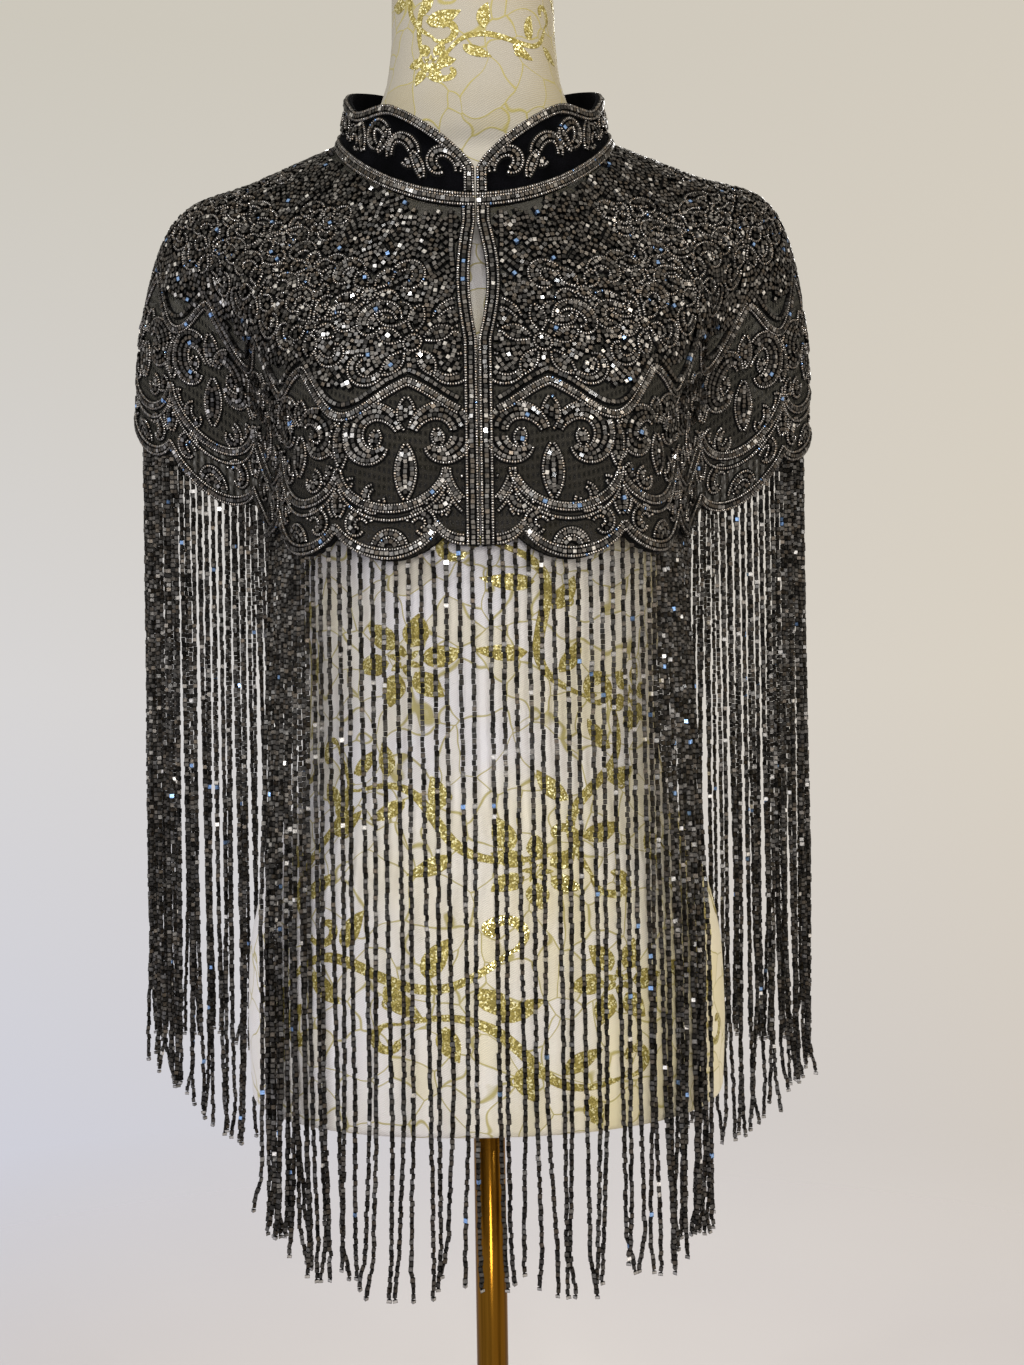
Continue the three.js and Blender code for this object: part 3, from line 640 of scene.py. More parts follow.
def alongPath(points, normals, kind, twist=0.0, keep=None):
    # beads of one kind threaded along a path of points; twist turns each by up to that many degrees
    steps = np.linalg.norm(np.diff(points, axis=0), axis=1)
    length = np.concatenate([[0], np.cumsum(steps)])
    count = int(length[-1] / beadKinds[kind]["pitch"])
    if count < 1:
        return None
    spots = (np.arange(count) + 0.5) * length[-1] / count

    def at(where, values):
        return np.stack([np.interp(where, length, values[:, k]) for k in range(3)], axis=1)
    facing = unit(at(spots, normals))
    along = unit(at(spots + threadStep, points) - at(spots - threadStep, points))
    if twist:
        angle = np.radians(random.uniform(-twist, twist, count))[:, None]
        along = unit(along * np.cos(angle) + np.cross(facing, along) * np.sin(angle))
    row = makeRow(kind, at(spots, points), along, facing)
    if keep is not None:
        kept = np.interp(spots, length, keep.astype(float)) > 0.5
        row = {key: value[kept] for key, value in row.items()}
    return row


def threadAndShadowPatches(name, rowsOf):
    # the black thread that holds the beads, as one small flat patch under each; a patch reaches past
    # its bead and is also a painted shadow round and between the beads
    corners = []
    for kind, rows in rowsOf.items():
        row, (long, broad) = merged(rows), threadShadowPatch[kind]
        foot = row["place"] - row["up"] * (beadKinds[kind]["radius"] * sunk - threadShadowPatch["rise"])
        a, b = row["along"] * long, np.cross(row["up"], row["along"]) * broad
        corners.append(np.stack([foot - a - b, foot + a - b, foot + a + b, foot - a + b], axis=1))
    points = np.concatenate(corners).reshape(-1, 3)
    return makeMesh(name, points, np.arange(len(points)).reshape(-1, 4), finish["tape"])


class BeadField:
    # collects rows, leaving out a bead that would sit on one of another row
    cell, room = 3.2, {"seed": 1.5, "cut": 2.45}
    around = list(product((-1, 0, 1), repeat=3))

    def __init__(self):
        self.taken, self.rows, self.strokes = {}, {"seed": [], "cut": []}, 0
        self.motifs = 0       # strokes below this number are motifs, which later ones keep clear of

    def cellOf(self, place):
        return tuple(math.floor(value / self.cell) for value in place)

    def crowded(self, place, room, stroke):
        i, j, k = self.cellOf(place)
        for a, b, c in self.around:
            for other, otherRoom, number in self.taken.get((i + a, j + b, k + c), ()):
                apart = sum((p - q) ** 2 for p, q in zip(other, place))
                clear = (room + otherRoom) / 2 + (design["motifMargin"] if number < self.motifs else 0)
                if number != stroke and apart < clear ** 2:
                    return True
        return False

    def add(self, kind, row, strings=None):
        # strings holds the number of each bead's own string, where a row has several
        if row is None:
            return
        room, kept = self.room[kind], []
        numbers = np.zeros(len(row["place"]), int) if strings is None else strings
        for index, (place, string) in enumerate(zip(row["place"].tolist(), numbers.tolist())):
            stroke = self.strokes + string
            if not self.crowded(place, room, stroke):
                kept.append(index)
                self.taken.setdefault(self.cellOf(place), []).append((place, room, stroke))
        self.strokes += int(numbers.max(initial=0)) + 1
        if kept:
            self.rows[kind].append({key: value[kept] for key, value in row.items()})

    def count(self, kind):
        return sum(len(row["place"]) for row in self.rows[kind])


# The beaded design. A place on the cape is an arc round the hem from centre front and a height
# over the foot of the scallops, and a ground turns a motif's own x and y into points there.
design = {
    "rowStep": 2.5, "edgeRoom": 2.1, "leastRoom": -0.5, "twist": 18, "tripleBand": 2.0, "margin": 1.2,
    "neckMargin": 1.8, "motifMargin": 0.35, "hemDown": 0.97, "sizes": (0.5, 1.3),
    "waveTwist": 4, "upperTwist": 12,
}
scallopWave = {"foot": 31, "rise": 23, "power": 0.6, "line": -7}
ogeeWave = {"foot": 86, "rise": 20, "swell": 0.45, "point": 0.22, "line": 7}
measured, measuredDown = np.linspace(0, 1, 181), np.linspace(0, 1, 41)
downLengths = np.array([
    np.linalg.norm(np.diff(clothFace(np.full(len(measuredDown), ring), measuredDown), axis=0), axis=1).sum()
    for ring in measured
])
field = BeadField()
hubs = []            # (arc, height) of each motif that the filling bends round


def downLength(ring):
    return np.interp(ring % 1, measured, downLengths)


def capePlace(arc, height):
    ring = hemRing.ringAt(np.asarray(arc, float) / hemLength)
    return ring, 1 - height / downLength(ring)


def pastEdges(ring, down):
    # true where a bead would lie on the front bands, the hem band or the neck seam
    away = np.minimum(ring % 1, 1 - ring % 1) / ringPerMm(0.0 * ring, down)
    edge = np.where(ring % 1 < 0.5, frontEdge(1, down), frontEdge(-1, down))
    foot = hemEdge(ring) - (hem["bandWidth"] + design["margin"]) * downPerMm(ring, nearHem)
    pastFront = away < edge + opening["bandWidth"] + design["margin"]
    return pastFront | (down > foot) | (down * downLength(ring) < design["neckMargin"])


def narrowing(ring, down):
    # how much narrower the cloth is here than at the hem
    return ringPerMm(ring, design["hemDown"]) / ringPerMm(ring, down)


def capeGround(side, arc, height, size=1.0, way=1):
    narrow = float(narrowing(*capePlace(side * arc, height)))

    def at(x, y):
        ring, down = capePlace(side * (arc + size * (way * x) / narrow), height + size * y)
        return clothFace(ring, down), clothNormal(ring, down), ~pastEdges(ring, down)
    return at


def stroke(chosen, at, x, y, rows, width=None, twist=None):
    # rows of beads, as (offset, kind) pairs, along a line drawn on a ground; in a shape that has a
    # width the seed beads follow its outline, and cut beads fill it with one, two or three rows
    points, normals, free = at(x, y)
    sideways = np.cross(normals, unit(np.gradient(points, axis=0)))
    for offset, kind in rows:
        shift, keep = np.full(len(points), float(offset)), free
        if width is not None and kind == "seed":
            shift = np.sign(offset) * width / 2
        elif width is not None:
            inner = width / 2 - design["edgeRoom"]
            shift = np.sign(offset) * inner
            two, three = inner > design["rowStep"] / 2, inner > design["rowStep"]
            keep = free & (two if offset else three | (~two & (inner > design["leastRoom"])))
        turn = (design["twist"] if twist is None else twist) if kind == "cut" else 0
        chosen.add(kind, alongPath(points + sideways * shift[:, None], normals, kind, turn, keep))


# points along the lines that are drawn, and how wide they are and how they swell
drawn = {
    "scrollPoints": 56, "scrollEnd": 1.8, "scrollArch": (0.06, 0.9), "petalPoints": 26, "petalEnd": 1.4,
    "power": 0.8, "ringPoints": 40, "wavePoints": 60, "stemPoints": 24, "stringPoints": 12,
}
filled = [(-1, "seed"), (1, "seed"), (-1, "cut"), (1, "cut"), (0, "cut")]
triple = [(-design["tripleBand"], "seed"), (0, "cut"), (design["tripleBand"], "seed")]
single = [(0, "cut")]


def bent(x, y, direction, length, curl, count):
    # a line from x, y that bends by curl degrees; returns its points and the share along it
    t = np.linspace(0, 1, count)
    angle = np.radians(direction + curl * (t - 0.5))
    along = length / (count - 1)
    return x + np.cumsum(np.cos(angle)) * along, y + np.cumsum(np.sin(angle)) * along, t


def coiled(x, y, start, sweep, outer, inner, count):
    t = np.linspace(0, 1, count)
    angle = np.radians(start + sweep * t)
    radius = outer + (inner - outer) * t
    return x + radius * np.cos(angle), y + radius * np.sin(angle), t


def scroll(chosen, at, x, y, start, sweep, outer, inner, widest, rows=filled):
    # a spiral from one radius to another, broad in the middle and fine at its ends
    xs, ys, t = coiled(x, y, start, sweep, outer, inner, drawn["scrollPoints"])
    fine = drawn["scrollEnd"]
    stroke(chosen, at, xs, ys, rows, fine + (widest - fine) * hump(t, drawn["power"], *drawn["scrollArch"]))


def petal(chosen, at, x, y, direction, length, widest, curl=0.0):
    xs, ys, t = bent(x, y, direction, length, curl, drawn["petalPoints"])
    stroke(chosen, at, xs, ys, filled, drawn["petalEnd"] + widest * hump(t, drawn["power"]))


def motif(chosen, at, scrolls=(), petals=(), rings=(), low=0, high=360):
    # scrolls, petals and rings from the tables below; low and high are the ends of its rings
    for radius, kind, middle in rings:
        angle = np.radians(np.linspace(low, high, drawn["ringPoints"]))
        stroke(chosen, at, radius * np.cos(angle), middle + radius * np.sin(angle), [(0, kind)])
    for row in scrolls:
        scroll(chosen, at, *row)
    for row in petals:
        petal(chosen, at, *row)


def unitEdges(first):
    count = round((hemLength / 2 - first) / scallopWidth)
    return [0] + [first + k * scallopWidth for k in range(count + 1)]


scallopEdges = unitEdges(hem["frontWidth"])
waveEdges = unitEdges(hem["frontWidth"] + scallopWidth)


def scallopRise(place, isFirst):
    # hangs between the cusps of the scallops; the first unit is half of one
    away = (1 + place) / 2 if isFirst else np.abs(place)
    return scallopWave["rise"] * (1 - np.clip(1 - away ** 2, 0, 1) ** scallopWave["power"])


def ogeeRise(place, isFirst):
    # swells over the middle of each unit to a small point
    reach = 1 - np.abs(place)
    arch = ogeeWave["swell"] - ogeeWave["swell"] * np.cos(np.pi * reach)
    return ogeeWave["rise"] * (arch + ogeeWave["point"] * reach ** 4)


# each line's edges, shape and sizes, how many steps it lies from the first, its rows and twist
waves = [
    (scallopEdges, scallopRise, scallopWave, 0, triple, design["waveTwist"]),
    (scallopEdges, scallopRise, scallopWave, 1, [(0, "seed")], design["waveTwist"]),
    (waveEdges, ogeeRise, ogeeWave, 0, triple, design["waveTwist"]),
    (waveEdges, ogeeRise, ogeeWave, 1, single, design["upperTwist"]),
]


def beadedWaves(side):
    # lines round a half of the cape; a line's shape takes -1 to 1 across each unit
    place = np.linspace(-1, 1, drawn["wavePoints"])
    at = capeGround(side, 0, 0)
    narrow = float(narrowing(*capePlace(0.0, 0.0)))
    for edges, riseOf, size, step, rows, twist in waves:
        arcs = [low + (high - low) * (place + 1) / 2 for low, high in zip(edges, edges[1:])]
        foot = size["foot"] + step * size["line"]
        heights = [foot + riseOf(place, low == 0) for low in edges[:-1]]
        stroke(field, at, np.concatenate(arcs) * narrow, np.concatenate(heights), rows, twist=twist)


def units(side, edges, height, fullWidth):
    # the middle arc of each unit, with the size that a motif made for fullWidth has there
    for number, (low, high) in enumerate(zip(edges, edges[1:])):
        middle = (low + high) / 2
        room = (high - low) * float(narrowing(*capePlace(side * middle, height)))
        least, most = design["sizes"]
        yield number, middle, high - low, min(max(room / fullWidth, least), most)


# The motifs. Scrolls: x, y, start, sweep, outer and inner radius, widest. Petals: x, y, direction,
# length, widest, curl. Rings: radius, kind, height of the middle. Facing ones are half of a unit.
facingScrolls = [
    (17.5, 2.0, 165, -310, 14.8, 7.6, 13.0), (15.5, -28.5, 80, -270, 6.6, 3.2, 5.8),
    (27, -22, 250, 190, 5.6, 3.0, 5.4),
]
facingPetals = [
    (0, -30, 90, 28, 11.5, 0), (0, 5, 90, 17, 9.6, 0), (35, -14, 92, 25, 9.0, 14), (17, -3, 100, 9, 6.0, 0),
]
fanRings = [(4.5, "cut", -6), (6.7, "seed", -6), (8.9, "cut", -6), (11.1, "seed", -6)]
fanScrolls, fanPetals = [(20, 8, 170, -300, 7.5, 3.2, 6.4)], [(33.5, 12, 90, 16, 7.4)]
rosetteRings = [(2.2, "cut", 0), (4.4, "seed", 0)]
rosettePetals = {"count": 5, "foot": 5.6, "length": 15, "widest": 8.4, "curl": 26}
rosetteScrolls = [
    (22, 11, 170, -280, 12.5, 4, 7.6), (-22, 11, 10, 280, 12.5, 4, 7.6),
    (22, -12, 195, 240, 10.5, 3.6, 6.4), (-22, -12, -15, -240, 10.5, 3.6, 6.4),
]
# rows of rosettes: share of the way up from the ogee to the neck, place in the unit, size, turn
rosetteRows = [(0.20, 0.0, 0.95, 20), (0.44, 0.5, 0.9, 50), (0.68, 0.0, 0.8, 5)]
# where each motif sits, and the width of unit that it was drawn for
facingPlace = {"sized": 70, "height": 71, "width": 74, "hub": 16.5}
fanPlace = {"sized": 15, "height": 13, "width": 70, "hub": 8, "low": 12, "high": 168}
yoke = {"foot": 108, "reach": 130, "width": 62, "backMargin": 12, "turnStep": 17}


def facingScrollUnits(side):
    for _, middle, width, size in units(side, waveEdges, facingPlace["sized"], facingPlace["width"]):
        for way in (-1, 1):
            at = capeGround(side, middle, facingPlace["height"], size, way)
            motif(field, at, facingScrolls, facingPetals)
            away = way * facingPlace["hub"] * width / facingPlace["width"]
            hubs.append((side * (middle + away), facingPlace["height"]))


def scallopFans(side):
    # a fan of arcs in each scallop with a small scroll on both sides
    for number, middle, _, size in units(side, scallopEdges, fanPlace["sized"], fanPlace["width"]):
        if number == 0:
            continue
        motif(field, capeGround(side, middle, fanPlace["height"], size), rings=fanRings,
              low=fanPlace["low"], high=fanPlace["high"])
        for way in (-1, 1):
            motif(field, capeGround(side, middle, fanPlace["height"], size, way), fanScrolls, fanPetals)
        hubs.append((side * middle, fanPlace["hub"]))


def rosette(at, turn):
    motif(field, at, rings=rosetteRings)
    for k in range(rosettePetals["count"]):
        direction = turn + 360 / rosettePetals["count"] * k
        x, y = (rosettePetals["foot"] * part(math.radians(direction)) for part in (math.cos, math.sin))
        petal(field, at, x, y, direction, *(rosettePetals[key] for key in ("length", "widest", "curl")))
    motif(field, at, rosetteScrolls)


def rosettes(side):
    for row, (reach, place, scale, turn) in enumerate(rosetteRows):
        sized = yoke["foot"] + yoke["reach"] * reach
        for number, middle, width, size in units(side, waveEdges, sized, yoke["width"]):
            arc = middle + place * width
            rise = float(downLength(hemRing.ringAt(side * arc / hemLength))) - yoke["foot"]
            topRow = row == len(rosetteRows) - 1
            if arc > hemLength / 2 - yoke["backMargin"] or (topRow and (number % 2 or rise < yoke["reach"])):
                continue
            height = yoke["foot"] + rise * reach
            rosette(capeGround(side, arc, height, size * scale), turn + yoke["turnStep"] * number)
            hubs.append((side * arc, height))


sprigs = {
    "count": 21, "first": 18, "last": 24, "top": 4, "lower": 4, "lean": 6, "length": (44, 52),
    "strings": (7, 9), "spread": 44, "stringFoot": 1.6, "stringTip": (6, 8), "firstString": 0.6,
    "stemTwist": 8, "stringTwist": 12,
}


def sprig(at, length, lean, strings):
    # a stem with short slanted strings of cut beads on both sides
    x, y = math.sin(math.radians(lean)), -math.cos(math.radians(lean))
    reach = np.linspace(0, length, drawn["stemPoints"])
    stroke(field, at, x * reach, y * reach, single, twist=sprigs["stemTwist"])
    near, more = sprigs["stringTip"]
    for k in range(strings):
        foot = length * (k + sprigs["firstString"]) / strings
        for way in (-1, 1):
            tip = math.radians(lean + way * sprigs["spread"])
            out = np.linspace(sprigs["stringFoot"], near + more * k / strings, drawn["stringPoints"])
            across, up = x * foot + math.sin(tip) * out, y * foot - math.cos(tip) * out
            stroke(field, at, across, up, single, twist=sprigs["stringTwist"])


def neckSprigs(side):
    # long and short ones in turn, below the neck seam
    for k in range(sprigs["count"]):
        isLong = k % 2
        arc = sprigs["first"] + (hemLength / 2 - sprigs["last"]) * (k + 0.5) / sprigs["count"]
        top = float(downLength(hemRing.ringAt(side * arc / hemLength)))
        at = capeGround(side, arc, top - sprigs["top"] - sprigs["lower"] * isLong)
        sprig(at, sprigs["length"][isLong], sprigs["lean"] * (k % 3 - 1), sprigs["strings"][isLong])


filling = {
    "tries": 62000, "beads": 5, "twist": 14, "radialShare": 0.35, "foot": 104, "down": (0.03, 0.95),
    "innerRadius": 4, "hubGap": 1.2, "hubReach": 60, "sprigReach": 0.24, "sprigShare": 0.6, "bright": 0.05,
}
bareOval = {"height": 95, "halfWidth": 20, "halfHeight": 6.5}
ripple = {"wide": 9.5, "bend": 13, "tall": 8.3, "lean": 21, "above": 0.82}


def bareWindow(arc, height):
    # openings left in the filling, over each ogee and here and there above
    first = waveEdges[1]
    place = np.abs(arc)
    beyond = first + (np.floor((place - first) / scallopWidth) + 0.5) * scallopWidth
    away = place - np.where(place < first, first / 2, beyond)
    high = height - bareOval["height"]
    oval = (away / bareOval["halfWidth"]) ** 2 + (high / bareOval["halfHeight"]) ** 2 < 1
    across = np.sin(arc / ripple["wide"] + 2 * np.sin(height / ripple["bend"]))
    upward = np.sin(height / ripple["tall"] + 1.5 * np.sin(arc / ripple["lean"]))
    return oval | (across * upward > ripple["above"])


def ringedFill():
    # short strings of cut beads bent round the nearest motif, wherever there is net left
    tries, count = filling["tries"], filling["beads"]
    share, down = random.random(tries), random.uniform(*filling["down"], tries)
    ring = hemRing.ringAt(share)
    narrow = narrowing(ring, down)
    arc, height = ((share + 0.5) % 1 - 0.5) * hemLength, (1 - down) * downLength(ring)
    centres = np.array(hubs)
    x = (arc[:, None] - centres[:, 0]) * narrow[:, None]
    y = height[:, None] - centres[:, 1]
    apart = np.hypot(x, y)
    nearest, (closest, second) = np.argmin(apart, axis=1), np.partition(apart, 1, axis=1)[:, :2].T
    each = np.arange(tries)
    x, y, centre = x[each, nearest], y[each, nearest], centres[nearest]
    radius, angle = np.maximum(np.hypot(x, y), filling["innerRadius"]), np.arctan2(y, x)
    reach = (np.arange(count) - (count - 1) / 2) * beadKinds["cut"]["pitch"]
    radial = (random.random(tries) < filling["radialShare"])[:, None]
    far = radius[:, None] + np.where(radial, reach, 0)
    turn = angle[:, None] + np.where(radial, 0, reach / radius[:, None])
    arcAt = centre[:, :1] + far * np.cos(turn) / narrow[:, None]
    heightAt = centre[:, 1:] + far * np.sin(turn)
    keep = random.random(tries) < narrow
    keep &= (second - closest > filling["hubGap"]) & (closest < filling["hubReach"])
    keep &= (down > filling["sprigReach"]) | (random.random(tries) < filling["sprigShare"])
    strings = np.broadcast_to(each[:, None], far.shape)[keep]
    arcAt, heightAt = arcAt[keep], heightAt[keep]
    ring, down = capePlace(arcAt, heightAt)
    points, normals = clothFace(ring, down), clothNormal(ring, down)
    along = unit(np.gradient(points, axis=1))
    lean = np.radians(random.uniform(-filling["twist"], filling["twist"], along.shape[:2]))[..., None]
    along = unit(along * np.cos(lean) + np.cross(normals, along) * np.sin(lean))
    good = (~pastEdges(ring, down) & ~bareWindow(arcAt, heightAt) & (heightAt > filling["foot"])).ravel()
    flat = [values.reshape(-1, 3)[good] for values in (points, along, normals)]
    field.add("cut", makeRow("cut", *flat, bright=filling["bright"]), strings.ravel()[good])


for side in (-1, 1):
    for draw in (beadedWaves, facingScrollUnits, scallopFans, rosettes, neckSprigs):
        draw(side)
field.motifs = field.strokes
print("motifs drawn:", field.count("seed"), "seed beads,", field.count("cut"), "cut beads")
ringedFill()
print("filled:", field.count("cut"), "cut beads")

panels = {
    "right": (0, cloth["rightSeam"]), "back": (cloth["rightSeam"], cloth["leftSeam"]),
    "left": (cloth["leftSeam"], 1),
}


def alongHem(start, end, columns):
    share = np.linspace(start, end, columns)
    return share, np.where(share == 1, 1.0, hemRing.ringAt(share))


def shifted(share, ring, down, start, end, atStart, atEnd, fade):
    # draws a piece's end columns in from its seams, fading out along it
    reach = (share - start) / (end - start)
    move = atStart * np.maximum(1 - reach / fade, 0) - atEnd * np.maximum(1 - (1 - reach) / fade, 0)
    return ring + move * ringPerMm(ring, down)


def sheetSizes(grid):
    # the longest way across, the longest way down and the area of a grid of points, in metres
    across = np.linalg.norm(np.diff(grid, axis=0), axis=2).sum(axis=0).max()
    length = np.linalg.norm(np.diff(grid, axis=1), axis=2).sum(axis=1).max()
    a, b, c, d = grid[:-1, :-1], grid[1:, :-1], grid[1:, 1:], grid[:-1, 1:]
    first, second = (np.linalg.norm(np.cross(p - a, q - a), axis=-1) for p, q in ((b, c), (c, d)))
    return across * metres, length * metres, (first + second).sum() / 2 * metres ** 2


def netPanel(name, start, end):
    share, ring = (line[:, None] for line in alongHem(start, end, round((end - start) * cloth["columns"])))
    top = cloth["neckInset"] * downPerMm(ring, 0.0 * ring)
    down = top + (hemEdge(ring) - top) * np.linspace(0, 1, cloth["rows"])[None, :]
    ring = ring + 0 * down
    atStart = frontEdge(1, down) if start == 0 else cloth["seamGap"] / 2
    atEnd = frontEdge(-1, down) if end == 1 else cloth["seamGap"] / 2
    place = shifted(share, ring, down, start, end, atStart, atEnd, cloth["seamFade"])
    outer, inner = clothPoint(place, down, 0), clothPoint(place, down, -cloth["netThickness"])
    piece = makeMesh(name, *wallPoints(outer, inner), finish["net"])
    threads = piece.data.uv_layers.new(name="threads")
    flat = np.stack([share * hemLength + 0 * down, down * downLength(ring)], axis=-1).reshape(-1, 2) * metres
    corners = np.zeros(len(piece.data.loops), int)
    piece.data.loops.foreach_get("vertex_index", corners)
    threads.data.foreach_set("uv", np.concatenate([flat, flat])[corners].ravel())
    return piece, *sheetSizes(outer)


def tapeStrip(name, edge, inset, low, high):
    # a flat dark tape between two lines of places; each line is a function of lift
    outer, inner = (np.stack([edge(lift), inset(lift)], axis=1) for lift in (high, low))
    return makeMesh(name, *wallPoints(outer, inner), finish["tape"])


# lifts of a band's tape, its beads' twist, how far its ends are drawn in, and its stations
band = {"foot": 0.2, "top": 0.9, "twist": 5, "endFade": 0.15, "hemStations": 520, "frontStations": 120}
# rows of beads on the bands: distance from the outer edge and kind
bandRows = {
    "hem": [(1.1, "seed"), (3.75, "cut"), (6.4, "seed")],
    "front": [(1.1, "seed"), (4.1, "cut"), (7.3, "seed")],
    "foot": [(1.1, "seed"), (3.6, "cut"), (5.9, "seed"), (7.9, "seed")],
    "rim": [(1.1, "seed"), (3.5, "cut"), (5.9, "seed")],
}


def beadedBand(name, line, width, rows, seed):
    # a dark tape with rows of beads on it; line(inset) gives a line of points as a function of lift
    made = [tapeStrip(name + "_tape", line(0), line(width), band["foot"], band["top"])]
    rowsOf = {"seed": [], "cut": []}
    for inset, kind in bandRows[rows]:
        normals = unit(line(inset)(1.0) - line(inset)(0.0))
        rowsOf[kind].append(alongPath(line(inset)(band["top"]), normals, kind, band["twist"]))
    for number, kind in enumerate(rowsOf):
        made.append(beadPiece(f"{name}_{kind}", kind, rowsOf[kind], seed + number))
    return joined(name, made)


def hemBand(name, start, end, seed):
    share, ring = alongHem(start, end, round((end - start) * band["hemStations"]))
    foot, perMm = hemEdge(ring), downPerMm(ring, nearHem)
    clear = opening["meet"] + opening["bandWidth"] + cloth["seamGap"]
    ends = (clear if start == 0 else cloth["seamGap"], clear if end == 1 else cloth["seamGap"])

    def line(inset):
        down = foot - inset * perMm
        place = shifted(share, ring, down, start, end, *ends, band["endFade"])
        return lambda lift: clothPoint(place, down, lift)
    return beadedBand(name, line, hem["bandWidth"], "hem", seed)


def frontBand(name, side, seed):
    top = 2 * cloth["neckInset"] * float(downPerMm(0.0, 0.0))
    down = np.linspace(top, float(hemEdge(0.0)), band["frontStations"])

    def line(across):
        place = side * (frontEdge(side, down) + across) * ringPerMm(0.0 * down, down)
        return lambda lift: clothPoint(place, down, lift)
    return beadedBand(name, line, opening["bandWidth"], "front", seed)


collar = {
    "frontHeight": 24, "height": 57, "backHeight": 37, "rounding": 60, "frontLean": 3, "sideLean": 12,
    "leanStart": 20, "rimWidth": 7, "footBand": 9, "meet": 0.5, "side": 118, "stations": 180, "rows": 12,
    "scrolls": 10, "scrollStart": 22, "scrollStep": 27, "scrollRoom": 27, "scrollMost": 1.35,
    "margin": 1.4, "endMargin": 1.5, "turnPower": 0.75, "stationPower": 1.4, "rimStations": 360,
    "endSteps": 12,
}
# x, height, turn from upright, sweep, outer and inner radius, widest, rows; every second one opens down
collarScrollRows = [(0, -1.5, 110, 300, 10.5, 3.2, 6.6, filled), (3, -3, 100, 200, 3.6, 2.0, 2.4, single)]
collarPetal = (11.5, 9, -62, 16, 4.2, 30)
collarTop = cloth["neckInset"] + collar["footBand"]       # where the foot band ends
collarField = BeadField()


def collarPoint(around, high, lift):
    share = np.asarray(around, float) / neckLength
    ring = neckRing.ringAt(share)
    foot, outward = neckRing.at(ring), neckRing.outward(ring)
    away = np.minimum(share % 1, 1 - share % 1) * neckLength
    turned = smoothStep(away, collar["leanStart"], collar["side"])
    lean = np.radians(collar["frontLean"] + (collar["sideLean"] - collar["frontLean"]) * turned)
    lean, upright = lean[..., None], np.array([0, 0, 1.0])
    rise = upright * np.cos(lean) - outward * np.sin(lean)
    face = outward * np.cos(lean) + upright * np.sin(lean)
    return foot + rise * np.asarray(high, float)[..., None] + face * lift


def collarEdge(around):
    away = np.minimum(around, neckLength - around)
    turned = (1 - (1 - np.minimum(away / collar["rounding"], 1)) ** 2) ** collar["turnPower"]
    side = smoothStep(away, collar["rounding"], collar["side"])
    height = collar["height"] + (collar["backHeight"] - collar["height"]) * side
    return collar["frontHeight"] + (height - collar["frontHeight"]) * turned


def collarStations(count):
    place = np.linspace(-1, 1, count)
    # closer together at the front ends
    eased = np.sign(place) * (1 - (1 - np.abs(place)) ** collar["stationPower"])
    return neckLength / 2 + eased * (neckLength / 2 - collar["meet"])


def standCollar():
    around = collarStations(collar["stations"])[:, None]
    row = np.linspace(0, 1, collar["rows"])[None, :]
    high = cloth["neckInset"] + (collarEdge(around) - cloth["neckInset"]) * row
    outer, inner = (collarPoint(around + 0 * high, high, lift) for lift in (0, -cloth["velvetWall"]))
    return makeMesh("velvet_collar", *wallPoints(outer, inner), finish["velvet"]), outer


def collarFootBand():
    around = collarStations(collar["stations"])

    def line(high):
        return lambda lift: collarPoint(around, cloth["neckInset"] + high + 0 * around, lift)
    return beadedBand("collar_foot_beads", line, collar["footBand"], "foot", 61)


def collarRim():
    foot = collarTop + cloth["seamGap"]
    around = collarStations(collar["rimStations"])
    rise = np.linspace(foot, collar["frontHeight"], collar["endSteps"])[:-1]
    edge = np.concatenate([
        np.stack([0 * rise + collar["meet"], rise], axis=1),
        np.stack([around, collarEdge(around)], axis=1),
        np.stack([0 * rise + neckLength - collar["meet"], rise[::-1]], axis=1),
    ])
    run = unit(np.gradient(edge, axis=0))
    inward = np.stack([run[:, 1], -run[:, 0]], axis=1)

    def line(inset):
        spots = edge + inward * inset
        spots[:, 1] = np.maximum(spots[:, 1], foot)
        return lambda lift: collarPoint(spots[:, 0], spots[:, 1], lift)
    return beadedBand("collar_rim_beads", line, collar["rimWidth"], "rim", 71)


def collarGround(side, away, high, size=1.0):
    def at(x, y):
        around = (side * (away + size * x)) % neckLength
        height = high + size * y
        points = collarPoint(around, height, 0)
        free = height < collarEdge(around) - collar["rimWidth"] - collar["margin"]
        free &= height > collarTop + collar["margin"]
        free &= np.minimum(around, neckLength - around) > collar["rimWidth"] + collar["endMargin"]
        return points, unit(collarPoint(around, height, 1) - points), free
    return at


def collarScrolls(side):
    # scrolls that open up and down in turn, as large as the velvet between rim and foot band allows
    for k in range(collar["scrolls"]):
        away = collar["scrollStart"] + collar["scrollStep"] * k
        room = float(collarEdge(away)) - collar["rimWidth"] - collarTop
        size = min(room / collar["scrollRoom"], collar["scrollMost"])
        at = collarGround(side, away, collarTop + room / 2, size)
        way = 1 if k % 2 else -1
        for x, y, turn, sweep, outer, inner, widest, rows in collarScrollRows:
            scroll(collarField, at, x, y * way, 90 - way * turn, way * sweep, outer, inner, widest, rows)
        x, y, direction, length, widest, curl = collarPetal
        petal(collarField, at, x, way * y, way * direction, length, widest, way * curl)


